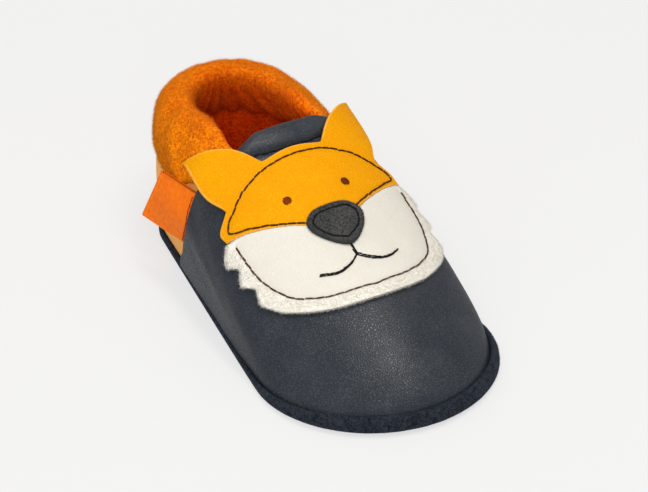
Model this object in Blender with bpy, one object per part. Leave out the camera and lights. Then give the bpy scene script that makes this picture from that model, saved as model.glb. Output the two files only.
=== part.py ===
"""Baby crawling shoe for the right foot.

A soft leather and suede shoe that stands on its sole: toe towards -Y, outer side towards -X, floor at z = 0.
One skin function gives the outside of the upper. Every piece that lies on the upper is taken from that
function at its own offset.
"""

import bmesh
import bpy
import numpy as np

# Driving dimensions of the last and its sole, in metres
LENGTH = 0.130
BALL_WIDTH = 0.0665
HEEL_WIDTH = 0.0430
TOE_DEPTH = 0.032
TOE_SHIFT = -0.0022
OUTLINE_BLEND = 0.001

# Collar rim
THROAT_Y = 0.0202
BACK_Y = 0.0582
RIM_HALF_WIDTH = 0.0154

# Material thicknesses and the gap that pieces keep
SOLE_THICKNESS = 0.0015
INSOLE_THICKNESS = 0.0020
INSOLE_EDGE_SHARE = 0.3
WALL = 0.0016
VAMP_THICKNESS = 0.0012
PICTURE_THICKNESS = 0.0010
NOSE_THICKNESS = 0.0013
GAP = 0.00042
PICTURE_GAP = 0.0006

# Cuff: a thicker turned band around the heel and sides
CUFF_ROW = 0.70
CUFF_STEP = 0.0010
CUFF_BULGE = 0.0006
CUFF_PADDING = 0.0032
CUFF_PADDING_ROWS = (0.45, 0.88)
CUFF_PADDING_FADE = (0.09, 0.24)
CUFF_FADE = (0.170, 0.215)
CUFF_EDGE_ROWS = 0.035

# Hem of the vamp: a puffed band along the throat
HEM_ROW = 0.90
HEM_PUFF = 0.0012
HEM_TURN = 0.97
HEM_COVERS = 0.07
HEM_FADE = (0.105, 0.165)
HEM_DROP = 0.14
HEM_DROP_FADE = (0.066, 0.148)
HEM_DROP_ROWS = (0.75, 1.0)
HEM_INNER_REACH = 0.018

# Mesh steps
STATIONS = 64
ROWS_BELOW_CUFF = (0.0, 0.09, 0.18, 0.27, 0.36, 0.45, 0.53, 0.59, 0.645, CUFF_ROW)
VAMP_COLUMNS = 44
UPPER_ROWS_ABOVE = (CUFF_ROW + CUFF_EDGE_ROWS, 0.79, 0.86, 0.93, 1.0)
VAMP_ROWS_ABOVE = (0.76, 0.82, 0.87, HEM_ROW, 0.92, 0.95, 0.98, 1.0)
INNER_ROWS = (1.0, 0.90, 0.80, CUFF_ROW, 0.55, 0.40, 0.25, 0.12, 0.0)
ROLL_ANGLES = (45.0, 90.0, 135.0)
SHARP_ANGLE = 40.0
OUTLINE_POINTS = 720

# Search for the skin's point above a plan point: grid to start from, steps taken and rows allowed
SEARCH_STATIONS = np.linspace(-0.30, 0.30, 61)
SEARCH_ROWS = np.linspace(0.25, 1.0, 46)
SEARCH_STEPS = 8
ROW_LIMITS = (0.15, 1.05)

# Sections of the upper, from the toe (station 0) to the heel's middle (station 0.5), alike on both sides.
# inset: foot of the wall inside the sole's outline.
# rise, lean: handle of the profile at its foot, up and out. run, drop: handle at the rim, outwards and down.
# rim: height of the rim. cuff: share of the profile below the cuff.
SECTION_COLUMNS = ("station", "inset", "rise", "lean", "run", "drop", "rim", "cuff")
SECTIONS = np.array((
    (0.00, 0.0046, 0.0135, 0.0020, 0.0305, 0.0180, 0.0447, 0.80),
    (0.10, 0.0043, 0.0070, 0.0004, 0.0255, 0.0180, 0.0440, 0.80),
    (0.15, 0.0037, 0.0070, 0.0002, 0.0200, 0.0175, 0.0435, 0.80),
    (0.20, 0.0027, 0.0080, 0.0002, 0.0145, 0.0150, 0.0427, 0.77),
    (0.30, 0.0020, 0.0125, 0.0015, 0.0124, 0.0035, 0.0420, 0.56),
    (0.40, 0.0014, 0.0150, 0.0030, 0.0124, 0.0005, 0.0428, 0.48),
    (0.50, 0.0011, 0.0140, 0.0034, 0.0099, 0.0035, 0.0435, 0.48),
))

# Edge of the sole, by station. lip: height of its edge. roll: width of the rolled part under the edge.
# shoulder: inset of the lip's top. tuck: inset of its inner corner. floor: inset where the flat top begins.
SOLE_COLUMNS = ("station", "lip", "roll", "shoulder", "tuck", "floor")
SOLE_EDGE = np.array((
    (0.00, 0.0050, 0.0050, 0.0019, 0.0029, 0.0027),
    (0.08, 0.0047, 0.0046, 0.0019, 0.0028, 0.0025),
    (0.12, 0.0040, 0.0042, 0.0014, 0.0021, 0.0021),
    (0.16, 0.0029, 0.0035, 0.0010, 0.0015, 0.0018),
    (0.20, 0.0019, 0.0030, 0.0006, 0.0009, 0.0011),
    (0.25, 0.0016, 0.0026, 0.0007, 0.0024, 0.0030),
    (0.50, 0.0016, 0.0026, 0.0007, 0.0024, 0.0030),
))

# Heights on the sole's edge as shares of its lip: the widest line, the side above it and the inner corner
WIDEST_SHARE = 0.36
SIDE_SHARE = 0.80
TUCK_SHARE = 0.95
SIDE_INSET_SHARE = 0.35
SOLE_ROLL_ANGLES = (0.0, 35.0, 65.0, 90.0)

# Rear edge of the vamp: how far around the shoe it reaches at each row of the skin.
# outer, inner: its reach on the outer and on the inner side.
VAMP_COLUMN_NAMES = ("row", "outer", "inner")
VAMP_EDGE = np.array((
    (0.00, 0.364, 0.385),
    (0.20, 0.346, 0.352),
    (0.57, 0.251, 0.256),
    (0.66, 0.196, 0.198),
    (0.80, 0.147, 0.163),
    (0.91, 0.136, 0.147),
    (1.00, 0.128, 0.128),
))

# Fox face, half outlines in plan: x from the middle line, y along the shoe, and 1 at a corner of the outline
FACE_HALF = (
    (0.0000, -0.0145, 1),
    (0.0070, -0.0088, 0),
    (0.0150, -0.0042, 0),
    (0.0245, 0.0005, 1),
    (0.0244, 0.0040, 0),
    (0.0212, 0.0070, 1),
    (0.0222, 0.0140, 0),
    (0.0200, 0.0250, 1),
    (0.0135, 0.0190, 0),
    (0.0085, 0.0125, 1),
    (0.0000, 0.0132, 0),
)
MUZZLE_HALF = (
    (0.0000, -0.0152, 1),
    (0.0073, -0.0094, 0),
    (0.0153, -0.0048, 0),
    (0.0248, -0.0001, 1),
    (0.0268, -0.0042, 1),
    (0.0250, -0.0072, 0),
    (0.0268, -0.0110, 1),
    (0.0246, -0.0145, 0),
    (0.0258, -0.0185, 1),
    (0.0215, -0.0250, 0),
    (0.0120, -0.0315, 0),
    (0.0000, -0.0338, 0),
)
NOSE_HALF = (
    (0.0000, -0.0182, 0),
    (0.0048, -0.0150, 0),
    (0.0074, -0.0098, 0),
    (0.0050, -0.0064, 0),
    (0.0000, -0.0058, 0),
)
FACE_CENTRE = (0.0, 0.003)
MUZZLE_CENTRE = (0.0, -0.022)
NOSE_CENTRE = (0.0, -0.0115)
EAR_BASE = ((0.0085, 0.0125), (0.0212, 0.0070))
EAR_LIFT = 0.20
PICTURE_RINGS = (0.08, 0.36, 0.62, 0.82, 0.92, 1.0)
PICTURE_MIDDLE = -0.00105
OUTLINE_STEPS = 3

# Label: a flat loop sewn at its front edge, leaning out to the rear and in to the top, outline as y and z
LABEL_OUTLINE = ((0.0236, 0.0312), (0.0350, 0.0318), (0.0414, 0.0156), (0.0254, 0.0134))
LABEL_FRONT = (0.0240, -0.0273)
LABEL_SEWN_HEIGHT = 0.0220
LABEL_LEAN = -0.09
LABEL_TILT = 0.14
LABEL_THICKNESS = 0.0010

# Surface of each piece: colour, roughness
FINISHES = {
    "outsole": ((0.012, 0.014, 0.020), 0.95),
    "insole": ((0.340, 0.055, 0.012), 0.95),
    "upper": ((0.780, 0.170, 0.010), 0.90),
    "vamp": ((0.026, 0.029, 0.036), 0.50),
    "face": ((0.900, 0.330, 0.010), 0.60),
    "muzzle": ((0.800, 0.740, 0.640), 0.65),
    "nose": ((0.030, 0.034, 0.042), 0.60),
    "label": ((0.820, 0.210, 0.030), 0.75),
}


def clear_scene():
    """Remove every object that the scene starts with."""
    for obj in list(bpy.data.objects):
        bpy.data.objects.remove(obj, do_unlink=True)


def smoothstep(low, high, x):
    """Ease from 0 at low to 1 at high."""
    u = np.clip((x - low) / (high - low), 0.0, 1.0)
    return u * u * (3.0 - 2.0 * u)


def through_rows(x, xs, ys):
    """Smooth curve through the rows of a table, level at its two ends."""
    slopes = np.gradient(ys, xs)
    slopes[[0, -1]] = 0.0
    i = np.clip(np.searchsorted(xs, x, side="right") - 1, 0, len(xs) - 2)
    width = xs[i + 1] - xs[i]
    u = (x - xs[i]) / width
    start = (1.0 + 2.0 * u) * (1.0 - u) ** 2 * ys[i] + u * (1.0 - u) ** 2 * width * slopes[i]
    end = u * u * (3.0 - 2.0 * u) * ys[i + 1] + u * u * (u - 1.0) * width * slopes[i + 1]
    return start + end


def section_value(column, station):
    """Value of one column of the sections at stations from -0.5 to 0.5."""
    return through_rows(np.abs(station), SECTIONS[:, 0], SECTIONS[:, SECTION_COLUMNS.index(column)])


def sole_value(column, station):
    """Value of one column of the sole's edge table at stations from -0.5 to 0.5."""
    return through_rows(np.abs(station), SOLE_EDGE[:, 0], SOLE_EDGE[:, SOLE_COLUMNS.index(column)])


def sole_outline():
    """Points of the sole's outline, evenly spaced from the toe over the outer side, with outward normals.

    A toe ellipse and a heel circle are joined by blending their points where their tangent lines meet.
    """
    turn = np.linspace(0.0, 2.0 * np.pi, OUTLINE_POINTS, endpoint=False)
    facing = np.stack([-np.sin(turn), -np.cos(turn)], axis=1)

    def ellipse(centre, half):
        reach = np.hypot(half[0] * facing[:, 0], half[1] * facing[:, 1])
        points = np.array(centre) + np.array(half) ** 2 * facing / reach[:, None]
        return points, facing @ np.array(centre) + reach

    toe, toe_reach = ellipse((TOE_SHIFT, TOE_DEPTH - LENGTH / 2), (BALL_WIDTH / 2, TOE_DEPTH))
    heel, heel_reach = ellipse((0.0, (LENGTH - HEEL_WIDTH) / 2), (HEEL_WIDTH / 2, HEEL_WIDTH / 2))
    share = 1.0 / (1.0 + np.exp((heel_reach - toe_reach) / OUTLINE_BLEND))
    points = toe * share[:, None] + heel * (1.0 - share)[:, None]
    loop = np.vstack([points, points[:1]])
    run = np.concatenate([[0.0], np.cumsum(np.linalg.norm(np.diff(loop, axis=0), axis=1))])
    even = np.linspace(0.0, run[-1], OUTLINE_POINTS, endpoint=False)
    points = np.stack([np.interp(even, run, loop[:, k]) for k in range(2)], axis=1)
    along = np.roll(points, -1, axis=0) - np.roll(points, 1, axis=0)
    normals = np.stack([along[:, 1], -along[:, 0]], axis=1)
    normals *= np.sign(np.sum(normals * points))
    return points, normals / np.linalg.norm(normals, axis=1)[:, None]


OUTLINE, OUTLINE_NORMALS = sole_outline()
OUTLINE_STATIONS = np.arange(len(OUTLINE)) / len(OUTLINE)


def around(station, values):
    """Read a column of the outline at any station, counted around the shoe as shares of its length."""
    return np.interp(station % 1.0, OUTLINE_STATIONS, values, period=1.0)


def outline_at(station, inset):
    """Plan point on the sole's outline, moved inwards by an inset."""
    x = around(station, OUTLINE[:, 0]) - inset * around(station, OUTLINE_NORMALS[:, 0])
    y = around(station, OUTLINE[:, 1]) - inset * around(station, OUTLINE_NORMALS[:, 1])
    return x, y


def skin(station, row):
    """Point on the outside of the upper: a cubic profile from the sole up to the collar's rim.

    Row 0 is the foot of the wall, row 1 the rim, and CUFF_ROW the lower edge of the cuff. The rim is an oval,
    squarer along the throat.
    """
    station, row = np.broadcast_arrays(np.asarray(station, float), np.asarray(row, float))
    side = (station + 0.5) % 1.0 - 0.5
    cuff = section_value("cuff", side)
    below = row / CUFF_ROW * cuff
    above = cuff + (row - CUFF_ROW) / (1.0 - CUFF_ROW) * (1.0 - cuff)
    share = np.where(row < CUFF_ROW, below, above)[..., None]

    foot_x, foot_y = outline_at(station, section_value("inset", side))
    foot = np.stack([foot_x, foot_y, np.full_like(foot_x, SOLE_THICKNESS + GAP)], axis=-1)
    lean = section_value("lean", side)
    foot_handle = foot + np.stack([
        lean * around(station, OUTLINE_NORMALS[:, 0]),
        lean * around(station, OUTLINE_NORMALS[:, 1]),
        section_value("rise", side),
    ], axis=-1)

    turn = 2.0 * np.pi * station
    square = (np.cos(turn) ** 4 + np.sin(turn) ** 4) ** -0.25
    reach = np.where(np.cos(turn) > 0.0, square, 1.0)
    middle_y = (THROAT_Y + BACK_Y) / 2
    half_length = (BACK_Y - THROAT_Y) / 2
    rim = np.stack([
        -RIM_HALF_WIDTH * reach * np.sin(turn),
        middle_y - half_length * reach * np.cos(turn),
        section_value("rim", side),
    ], axis=-1)
    run = section_value("run", side)
    rim_handle = rim + np.stack([
        -run * np.sin(turn),
        -run * np.cos(turn),
        -section_value("drop", side),
    ], axis=-1)

    rest = 1.0 - share
    return (rest ** 3 * foot + 3 * rest ** 2 * share * foot_handle
            + 3 * rest * share ** 2 * rim_handle + share ** 3 * rim)


def skin_frame(station, row):
    """Outward normal of the skin and its direction up the profile."""
    step = 0.002
    across = skin(station + step, row) - skin(station - step, row)
    up = skin(station, row + step) - skin(station, row - step)
    normal = np.cross(up, across)
    normal /= np.linalg.norm(normal, axis=-1)[..., None]
    return normal, up / np.linalg.norm(up, axis=-1)[..., None]


def lifted(station, row, offset):
    """Skin point moved out along the skin's normal."""
    normal, _ = skin_frame(station, row)
    return skin(station, row) + np.asarray(offset)[..., None] * normal


def on_skin(x, y):
    """Station and row of the skin's point above a plan point on the front of the shoe."""
    stations, rows = np.meshgrid(SEARCH_STATIONS, SEARCH_ROWS)
    samples = skin(stations, rows)[..., :2].reshape(-1, 2)
    target = np.stack([x, y], axis=-1)
    nearest = np.argmin(np.linalg.norm(samples[None] - target[:, None], axis=-1), axis=1)
    station = stations.ravel()[nearest]
    row = rows.ravel()[nearest]
    step = 0.001
    for _ in range(SEARCH_STEPS):
        here = skin(station, row)[:, :2]
        by_station = (skin(station + step, row)[:, :2] - here) / step
        by_row = (skin(station, row + step)[:, :2] - here) / step
        miss = target - here
        det = by_station[:, 0] * by_row[:, 1] - by_station[:, 1] * by_row[:, 0]
        station = station + (miss[:, 0] * by_row[:, 1] - miss[:, 1] * by_row[:, 0]) / det
        row = row + (by_station[:, 0] * miss[:, 1] - by_station[:, 1] * miss[:, 0]) / det
        row = np.clip(row, ROW_LIMITS[0], ROW_LIMITS[1])
    return station, row


def add_object(name, mesh, collection):
    """Put a mesh in the shoe's collection, with its faces pointing out and its own material."""
    work = bmesh.new()
    work.from_mesh(mesh)
    bmesh.ops.recalc_face_normals(work, faces=work.faces)
    work.to_mesh(mesh)
    work.free()
    mesh.shade_smooth()
    mesh.set_sharp_from_angle(angle=np.radians(SHARP_ANGLE))
    colour, roughness = FINISHES[name]
    material = bpy.data.materials.new(name)
    material.use_nodes = True
    shader = material.node_tree.nodes["Principled BSDF"]
    shader.inputs["Base Color"].default_value = (*colour, 1.0)
    shader.inputs["Roughness"].default_value = roughness
    mesh.materials.append(material)
    obj = bpy.data.objects.new(name, mesh)
    collection.objects.link(obj)
    return obj


def strip_faces(first, second):
    """Quads between two equal runs of vertex numbers."""
    return [(first[i], first[i + 1], second[i + 1], second[i]) for i in range(len(first) - 1)]


def ring_solid(name, rings, looped, collection):
    """Loft through closed rings, joined end to end into a tube wall or closed by a flat face at both ends."""
    count = len(rings[0])
    numbers = np.arange(len(rings) * count).reshape(len(rings), count)
    closed = np.concatenate([numbers, numbers[:, :1]], axis=1)
    faces = []
    for low, high in zip(closed[:-1], closed[1:]):
        faces += strip_faces(low.tolist(), high.tolist())
    if looped:
        faces += strip_faces(closed[-1].tolist(), closed[0].tolist())
    else:
        faces += [tuple(numbers[0].tolist()), tuple(numbers[-1].tolist())]
    mesh = bpy.data.meshes.new(name)
    mesh.from_pydata(np.concatenate(rings).tolist(), [], faces)
    return add_object(name, mesh, collection)


def sheet_solid(name, inner, outer, collection):
    """Closed sheet between two equal grids of points, with its four edges."""
    shape = inner.shape[:2]
    low = np.arange(inner.size // 3).reshape(shape)
    high = low + low.size
    faces = []
    for k in range(shape[0] - 1):
        faces += strip_faces(low[k].tolist(), low[k + 1].tolist())
        faces += strip_faces(high[k].tolist(), high[k + 1].tolist())
    for edge in (np.s_[0, :], np.s_[-1, :], np.s_[:, 0], np.s_[:, -1]):
        faces += strip_faces(low[edge].tolist(), high[edge].tolist())
    mesh = bpy.data.meshes.new(name)
    points = np.concatenate([inner.reshape(-1, 3), outer.reshape(-1, 3)])
    mesh.from_pydata(points.tolist(), [], faces)
    return add_object(name, mesh, collection)


def stations_around():
    """Even stations around the whole shoe."""
    return (np.arange(STATIONS) / STATIONS + 0.5) % 1.0 - 0.5


def sole_ring(station, inset, height):
    """Ring at an inset from the sole's outline."""
    x, y = outline_at(station, inset)
    return np.stack([x, y, np.broadcast_to(height, x.shape)], axis=-1)


def make_outsole(collection):
    """Suede sole: flat underneath, its edge rolled up high at the toe and low along the sides."""
    station = stations_around()
    lip = np.maximum(sole_value("lip", station), SOLE_THICKNESS)
    roll = sole_value("roll", station)
    shoulder = sole_value("shoulder", station)
    widest = lip * WIDEST_SHARE
    rings = []
    for angle in np.radians(SOLE_ROLL_ANGLES):
        rings.append(sole_ring(station, roll * (1.0 - np.sin(angle)), widest * (1.0 - np.cos(angle))))
    rings.append(sole_ring(station, shoulder * SIDE_INSET_SHARE, lip * SIDE_SHARE))
    rings.append(sole_ring(station, shoulder, lip))
    inner_height = np.maximum(lip * TUCK_SHARE, SOLE_THICKNESS)
    rings.append(sole_ring(station, sole_value("tuck", station), inner_height))
    rings.append(sole_ring(station, sole_value("floor", station), SOLE_THICKNESS))
    ring_solid("outsole", rings, False, collection)


def make_insole(collection):
    """Padded floor inside the wall of the upper."""
    station = stations_around()
    inset = section_value("inset", station) + WALL + 2 * GAP
    base = SOLE_THICKNESS + GAP
    edge = INSOLE_THICKNESS * INSOLE_EDGE_SHARE
    rings = [
        sole_ring(station, inset + edge, base),
        sole_ring(station, inset, base + edge),
        sole_ring(station, inset, base + INSOLE_THICKNESS - edge),
        sole_ring(station, inset + edge, base + INSOLE_THICKNESS),
    ]
    ring_solid("insole", rings, False, collection)


def along_hem(station):
    """Share of the outline from the throat's middle, counted from further round on the inner side."""
    return np.where(station < 0.0, -station - HEM_INNER_REACH, station)


def upper_row(station, row):
    """Row of the skin, drawn in at the throat so that the hem of the vamp stands above the upper's rim."""
    hidden = 1.0 - smoothstep(HEM_FADE[0], HEM_FADE[1], along_hem(station))
    stretch = 1.0 - hidden * HEM_COVERS / (1.0 - CUFF_ROW)
    return np.where(row > CUFF_ROW, CUFF_ROW + (row - CUFF_ROW) * stretch, row)


def upper_offsets(station, row):
    """Offsets of the outer and inner faces of the upper's wall, which swells to a roll at the rim."""
    cuff = smoothstep(CUFF_FADE[0], CUFF_FADE[1], np.abs(station))
    step = smoothstep(CUFF_ROW, CUFF_ROW + CUFF_EDGE_ROWS, row)
    swell = np.sin(np.pi * np.clip((row - CUFF_ROW) / (1.0 - CUFF_ROW), 0.0, 1.0))
    padded = smoothstep(CUFF_PADDING_FADE[0], CUFF_PADDING_FADE[1], np.abs(station))
    padding = CUFF_PADDING * padded * smoothstep(CUFF_PADDING_ROWS[0], CUFF_PADDING_ROWS[1], row)
    return cuff * step * (CUFF_STEP + CUFF_BULGE * swell), -WALL - padding


def make_upper(collection):
    """Hollow wall of the upper: outside, rounded rim and inside, open at the collar and underneath."""
    station = stations_around()
    rings = []
    for level in (*ROWS_BELOW_CUFF, *UPPER_ROWS_ABOVE):
        row = upper_row(station, level)
        rings.append(lifted(station, row, upper_offsets(station, row)[0]))
    row = upper_row(station, 1.0)
    outside, inside = upper_offsets(station, row)
    normal, up = skin_frame(station, row)
    centre = lifted(station, row, (outside + inside) / 2)
    radius = ((outside - inside) / 2)[:, None]
    for angle in np.radians(ROLL_ANGLES):
        rings.append(centre + radius * (np.cos(angle) * normal + np.sin(angle) * up))
    for level in INNER_ROWS:
        row = upper_row(station, level)
        rings.append(lifted(station, row, upper_offsets(station, row)[1]))
    ring_solid("upper", rings, True, collection)


def vamp_edge(side, row):
    """Reach of the vamp's rear edge at a row of the skin, on its outer or inner side."""
    return through_rows(row, VAMP_EDGE[:, 0], VAMP_EDGE[:, VAMP_COLUMN_NAMES.index(side)])


def vamp_row(level, station):
    """Row of the skin at a level of the vamp, which runs down on to the cuff at the ends of its hem."""
    drop = HEM_DROP * smoothstep(HEM_DROP_FADE[0], HEM_DROP_FADE[1], along_hem(station))
    return level - drop * smoothstep(HEM_DROP_ROWS[0], HEM_DROP_ROWS[1], level)


def hem_offset(row):
    """Extra height of the puffed hem."""
    share = np.clip((row - HEM_ROW) / (1.0 - HEM_ROW), 0.0, 1.0)
    return HEM_PUFF * np.sqrt(np.sin(np.pi * np.clip(share, 0.0, HEM_TURN)))


def make_vamp(collection):
    """Leather over the forefoot, sewn down at the sole, with a puffed hem along the throat."""
    levels = np.array((*ROWS_BELOW_CUFF, *VAMP_ROWS_ABOVE))[:, None]
    columns = np.linspace(-1.0, 1.0, VAMP_COLUMNS + 1)[None, :]
    station = columns * np.where(columns > 0.0, vamp_edge("outer", levels), vamp_edge("inner", levels))
    row = vamp_row(levels, station)
    inner = lifted(station, row, np.full(station.shape, GAP))
    outer = lifted(station, row, GAP + VAMP_THICKNESS + np.broadcast_to(hem_offset(levels), station.shape))
    sheet_solid("vamp", inner, outer, collection)


def whole_outline(half):
    """Closed outline from a half, mirrored and rounded between its corners."""
    half = np.array(half)
    mirrored = half[::-1][1:-1] * (-1.0, 1.0, 1.0)
    full = np.concatenate([half, mirrored])
    count = len(full)
    points = full[:, :2]
    tangents = (np.roll(points, -1, axis=0) - np.roll(points, 1, axis=0)) / 2
    outline = []
    for i in range(count):
        j = (i + 1) % count
        chord = points[j] - points[i]
        leave = chord if full[i, 2] else tangents[i]
        arrive = chord if full[j, 2] else tangents[j]
        for u in np.arange(OUTLINE_STEPS) / OUTLINE_STEPS:
            start = (1.0 + 2.0 * u) * (1.0 - u) ** 2 * points[i] + u * (1.0 - u) ** 2 * leave
            end = u * u * (3.0 - 2.0 * u) * points[j] + u * u * (u - 1.0) * arrive
            outline.append(start + end)
    return np.array(outline)


def ear_lift(x, y):
    """Height by which the ears stand off, growing from the line on which they are sewn."""
    (inner_x, inner_y), (outer_x, outer_y) = EAR_BASE
    base = np.array((outer_x - inner_x, outer_y - inner_y))
    away = np.array((-base[1], base[0])) / np.linalg.norm(base)
    distance = (np.abs(x) - inner_x) * away[0] + (y - inner_y) * away[1]
    beside = np.abs(x) > inner_x
    return EAR_LIFT * np.where(beside, np.maximum(distance, 0.0), 0.0)


def picture_solid(name, half, centre, base, thickness, lift, collection):
    """Flat leather piece on the vamp: rings from its middle to its outline, on both faces."""
    outline = whole_outline(half)
    inner = []
    outer = []
    for share in PICTURE_RINGS:
        plan = np.array(centre) + share * (outline - np.array(centre))
        station, row = on_skin(plan[:, 0] + PICTURE_MIDDLE, plan[:, 1])
        stand_off = base + lift(plan[:, 0], plan[:, 1])
        inner.append(lifted(station, row, stand_off))
        outer.append(lifted(station, row, stand_off + thickness))
    ring_solid(name, inner + outer[::-1], False, collection)


def make_picture(collection):
    """Fox face on the toe: orange mask with free ears, cream muzzle and dark nose."""
    def no_lift(x, _y):
        return np.zeros_like(x)

    on_vamp = GAP + VAMP_THICKNESS + PICTURE_GAP
    on_face = on_vamp + PICTURE_THICKNESS + GAP
    picture_solid("face", FACE_HALF, FACE_CENTRE, on_vamp, PICTURE_THICKNESS, ear_lift, collection)
    picture_solid("muzzle", MUZZLE_HALF, MUZZLE_CENTRE, on_vamp, PICTURE_THICKNESS, no_lift, collection)
    picture_solid("nose", NOSE_HALF, NOSE_CENTRE, on_face, NOSE_THICKNESS, no_lift, collection)


def make_label(collection):
    """Small flat loop behind the vamp's outer seam."""
    front_y, front_x = LABEL_FRONT
    y, z = np.array(LABEL_OUTLINE).T
    x = front_x + LABEL_LEAN * (y - front_y) + LABEL_TILT * (z - LABEL_SEWN_HEIGHT)
    rings = [np.stack([x - depth, y, z], axis=1) for depth in (0.0, LABEL_THICKNESS)]
    ring_solid("label", rings, False, collection)


def main():
    """Build the shoe."""
    clear_scene()
    collection = bpy.data.collections.new("baby_crawling_shoe")
    bpy.context.scene.collection.children.link(collection)
    make_outsole(collection)
    make_insole(collection)
    make_upper(collection)
    make_vamp(collection)
    make_picture(collection)
    make_label(collection)


main()
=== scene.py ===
"""Looks of the baby crawling shoe: each soft piece of the part made finely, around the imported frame.

The shoe stands on its sole, toe towards -Y and outer side towards -X. One last gives the skin of the
upper, and every piece lies on that skin at its own height. Sizes are in metres.
"""

import logging
from dataclasses import dataclass, field
from enum import Enum

import bmesh
import bpy
import numpy as np
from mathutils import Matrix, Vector
from numpy.typing import NDArray


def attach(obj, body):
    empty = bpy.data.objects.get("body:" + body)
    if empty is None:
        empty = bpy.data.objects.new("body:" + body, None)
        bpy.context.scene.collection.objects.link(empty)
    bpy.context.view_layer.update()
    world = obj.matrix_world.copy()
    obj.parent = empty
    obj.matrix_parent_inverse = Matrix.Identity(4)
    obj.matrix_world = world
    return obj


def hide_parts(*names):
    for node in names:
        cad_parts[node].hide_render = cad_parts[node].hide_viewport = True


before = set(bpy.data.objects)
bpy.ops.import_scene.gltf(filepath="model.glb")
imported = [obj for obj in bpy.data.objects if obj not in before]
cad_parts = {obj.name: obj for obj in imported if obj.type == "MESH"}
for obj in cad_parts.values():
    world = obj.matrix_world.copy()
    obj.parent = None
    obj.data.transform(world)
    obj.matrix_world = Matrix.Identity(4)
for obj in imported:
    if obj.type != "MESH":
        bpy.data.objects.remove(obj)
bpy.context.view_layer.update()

Array = NDArray[np.float64]
Numbers = NDArray[np.int64]
Colour = tuple[float, float, float]
Row = tuple[float, ...]
Pair = tuple[float, float]
Span = tuple[float, float, int]
Table = tuple[Row, ...]
Socket = bpy.types.NodeSocket
Node = bpy.types.Node
NodeTree = bpy.types.NodeTree
Mesh = bpy.types.Mesh
Material = bpy.types.Material

log = logging.getLogger("crawling_shoe")
BODY = "root"
TINY = 1e-18
WHITE = (1.0, 1.0, 1.0, 1.0)
CLOTH_MAP = "Cloth"
MIRROR = np.array((-1.0, 1.0))


class Slot(str, Enum):
    """Material slots of the record that the pieces take their finish from."""

    OUTSOLE = "outsole"
    INSOLE = "insole"
    UPPER = "upper"
    VAMP = "vamp"
    FACE = "face"
    MUZZLE = "muzzle"
    NOSE = "nose"
    LABEL = "label"


# Curves and distances


def ease(low: float, high: float, x: Array) -> Array:
    """Ease from 0 at low to 1 at high with level ends."""
    u = np.clip((x - low) / (high - low), 0.0, 1.0)
    return u * u * (3.0 - 2.0 * u)


def unit(vectors: Array) -> Array:
    """Vectors at length 1."""
    return vectors / np.linalg.norm(vectors, axis=-1, keepdims=True)


def through_rows(x: Array, xs: Array, ys: Array) -> Array:
    """Cubic curve through the rows of a table, level at its two ends.

    Args:
        x: Where the curve is read.
        xs: First column of the table, rising.
        ys: Values to pass through.

    Returns:
        The curve's values at x.
    """
    slopes = np.gradient(ys, xs)
    slopes[[0, -1]] = 0.0
    i = np.clip(np.searchsorted(xs, x, side="right") - 1, 0, len(xs) - 2)
    width = xs[i + 1] - xs[i]
    u = (x - xs[i]) / width
    start = (1.0 + 2.0 * u) * (1.0 - u) ** 2 * ys[i] + u * (1.0 - u) ** 2 * width * slopes[i]
    end = u * u * (3.0 - 2.0 * u) * ys[i + 1] + u * u * (u - 1.0) * width * slopes[i + 1]
    return start + end


def hermite(first: Array, second: Array, leave: Array, arrive: Array, u: Array) -> Array:
    """Cubic from one point to another with the given end directions.

    Args:
        first: Where it starts.
        second: Where it ends.
        leave: Direction and speed at its start.
        arrive: Direction and speed at its end.
        u: Shares of the way.

    Returns:
        Points of the curve.
    """
    start = (1.0 + 2.0 * u) * (1.0 - u) ** 2 * first + u * (1.0 - u) ** 2 * leave
    end = u * u * (3.0 - 2.0 * u) * second + u * u * (u - 1.0) * arrive
    return start + end


def closed_outline(half: Table, steps: int) -> Array:
    """Closed outline from a half and its mirror image, rounded between its corners.

    Each piece between two rows is a cubic that leaves and arrives along the neighbours' chord, or straight
    at a corner.

    Args:
        half: Rows of x, y and 1 at a corner, from the bottom of the middle line over +X to its top.
        steps: Points on each piece.

    Returns:
        Points of the outline, shape (n, 2), counter-clockwise.
    """
    table = np.array(half)
    full = np.concatenate([table, table[::-1][1:-1] * (-1.0, 1.0, 1.0)])
    points = full[:, None, :2]
    corner = full[:, None, 2:] > 0.0
    following = np.roll(points, -1, axis=0)
    tangents = (following - np.roll(points, 1, axis=0)) / 2
    leave = np.where(corner, following - points, tangents)
    arrive = np.where(np.roll(corner, -1, axis=0), following - points, np.roll(tangents, -1, axis=0))
    u = (np.arange(steps) / steps)[None, :, None]
    return hermite(points, following, leave, arrive, u).reshape(-1, 2)


def open_path(rows: Table, steps: int = 12) -> Array:
    """Smooth line through plan points: cubics along the chords of their neighbours.

    Args:
        rows: Rows of x and y.
        steps: Points on each cubic.

    Returns:
        Points of the line, shape (n, 2).
    """
    points = np.array(rows)
    tangents = np.gradient(points, axis=0)
    u = (np.arange(steps) / steps)[None, :, None]
    run = hermite(points[:-1, None], points[1:, None], tangents[:-1, None], tangents[1:, None], u)
    return np.concatenate([run.reshape(-1, 2), points[-1:]])


def outward_normals(outline: Array) -> Array:
    """Outward normals of a closed plan outline that runs counter-clockwise, shape (n, 2)."""
    along = np.roll(outline, -1, axis=0) - np.roll(outline, 1, axis=0)
    return unit(np.stack([along[:, 1], -along[:, 0]], axis=1))


def both_sides(path: Array) -> Array:
    """A path that ends on the middle line, carried on by its mirror image."""
    return np.concatenate([path, path[::-1][1:] * MIRROR])


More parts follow.
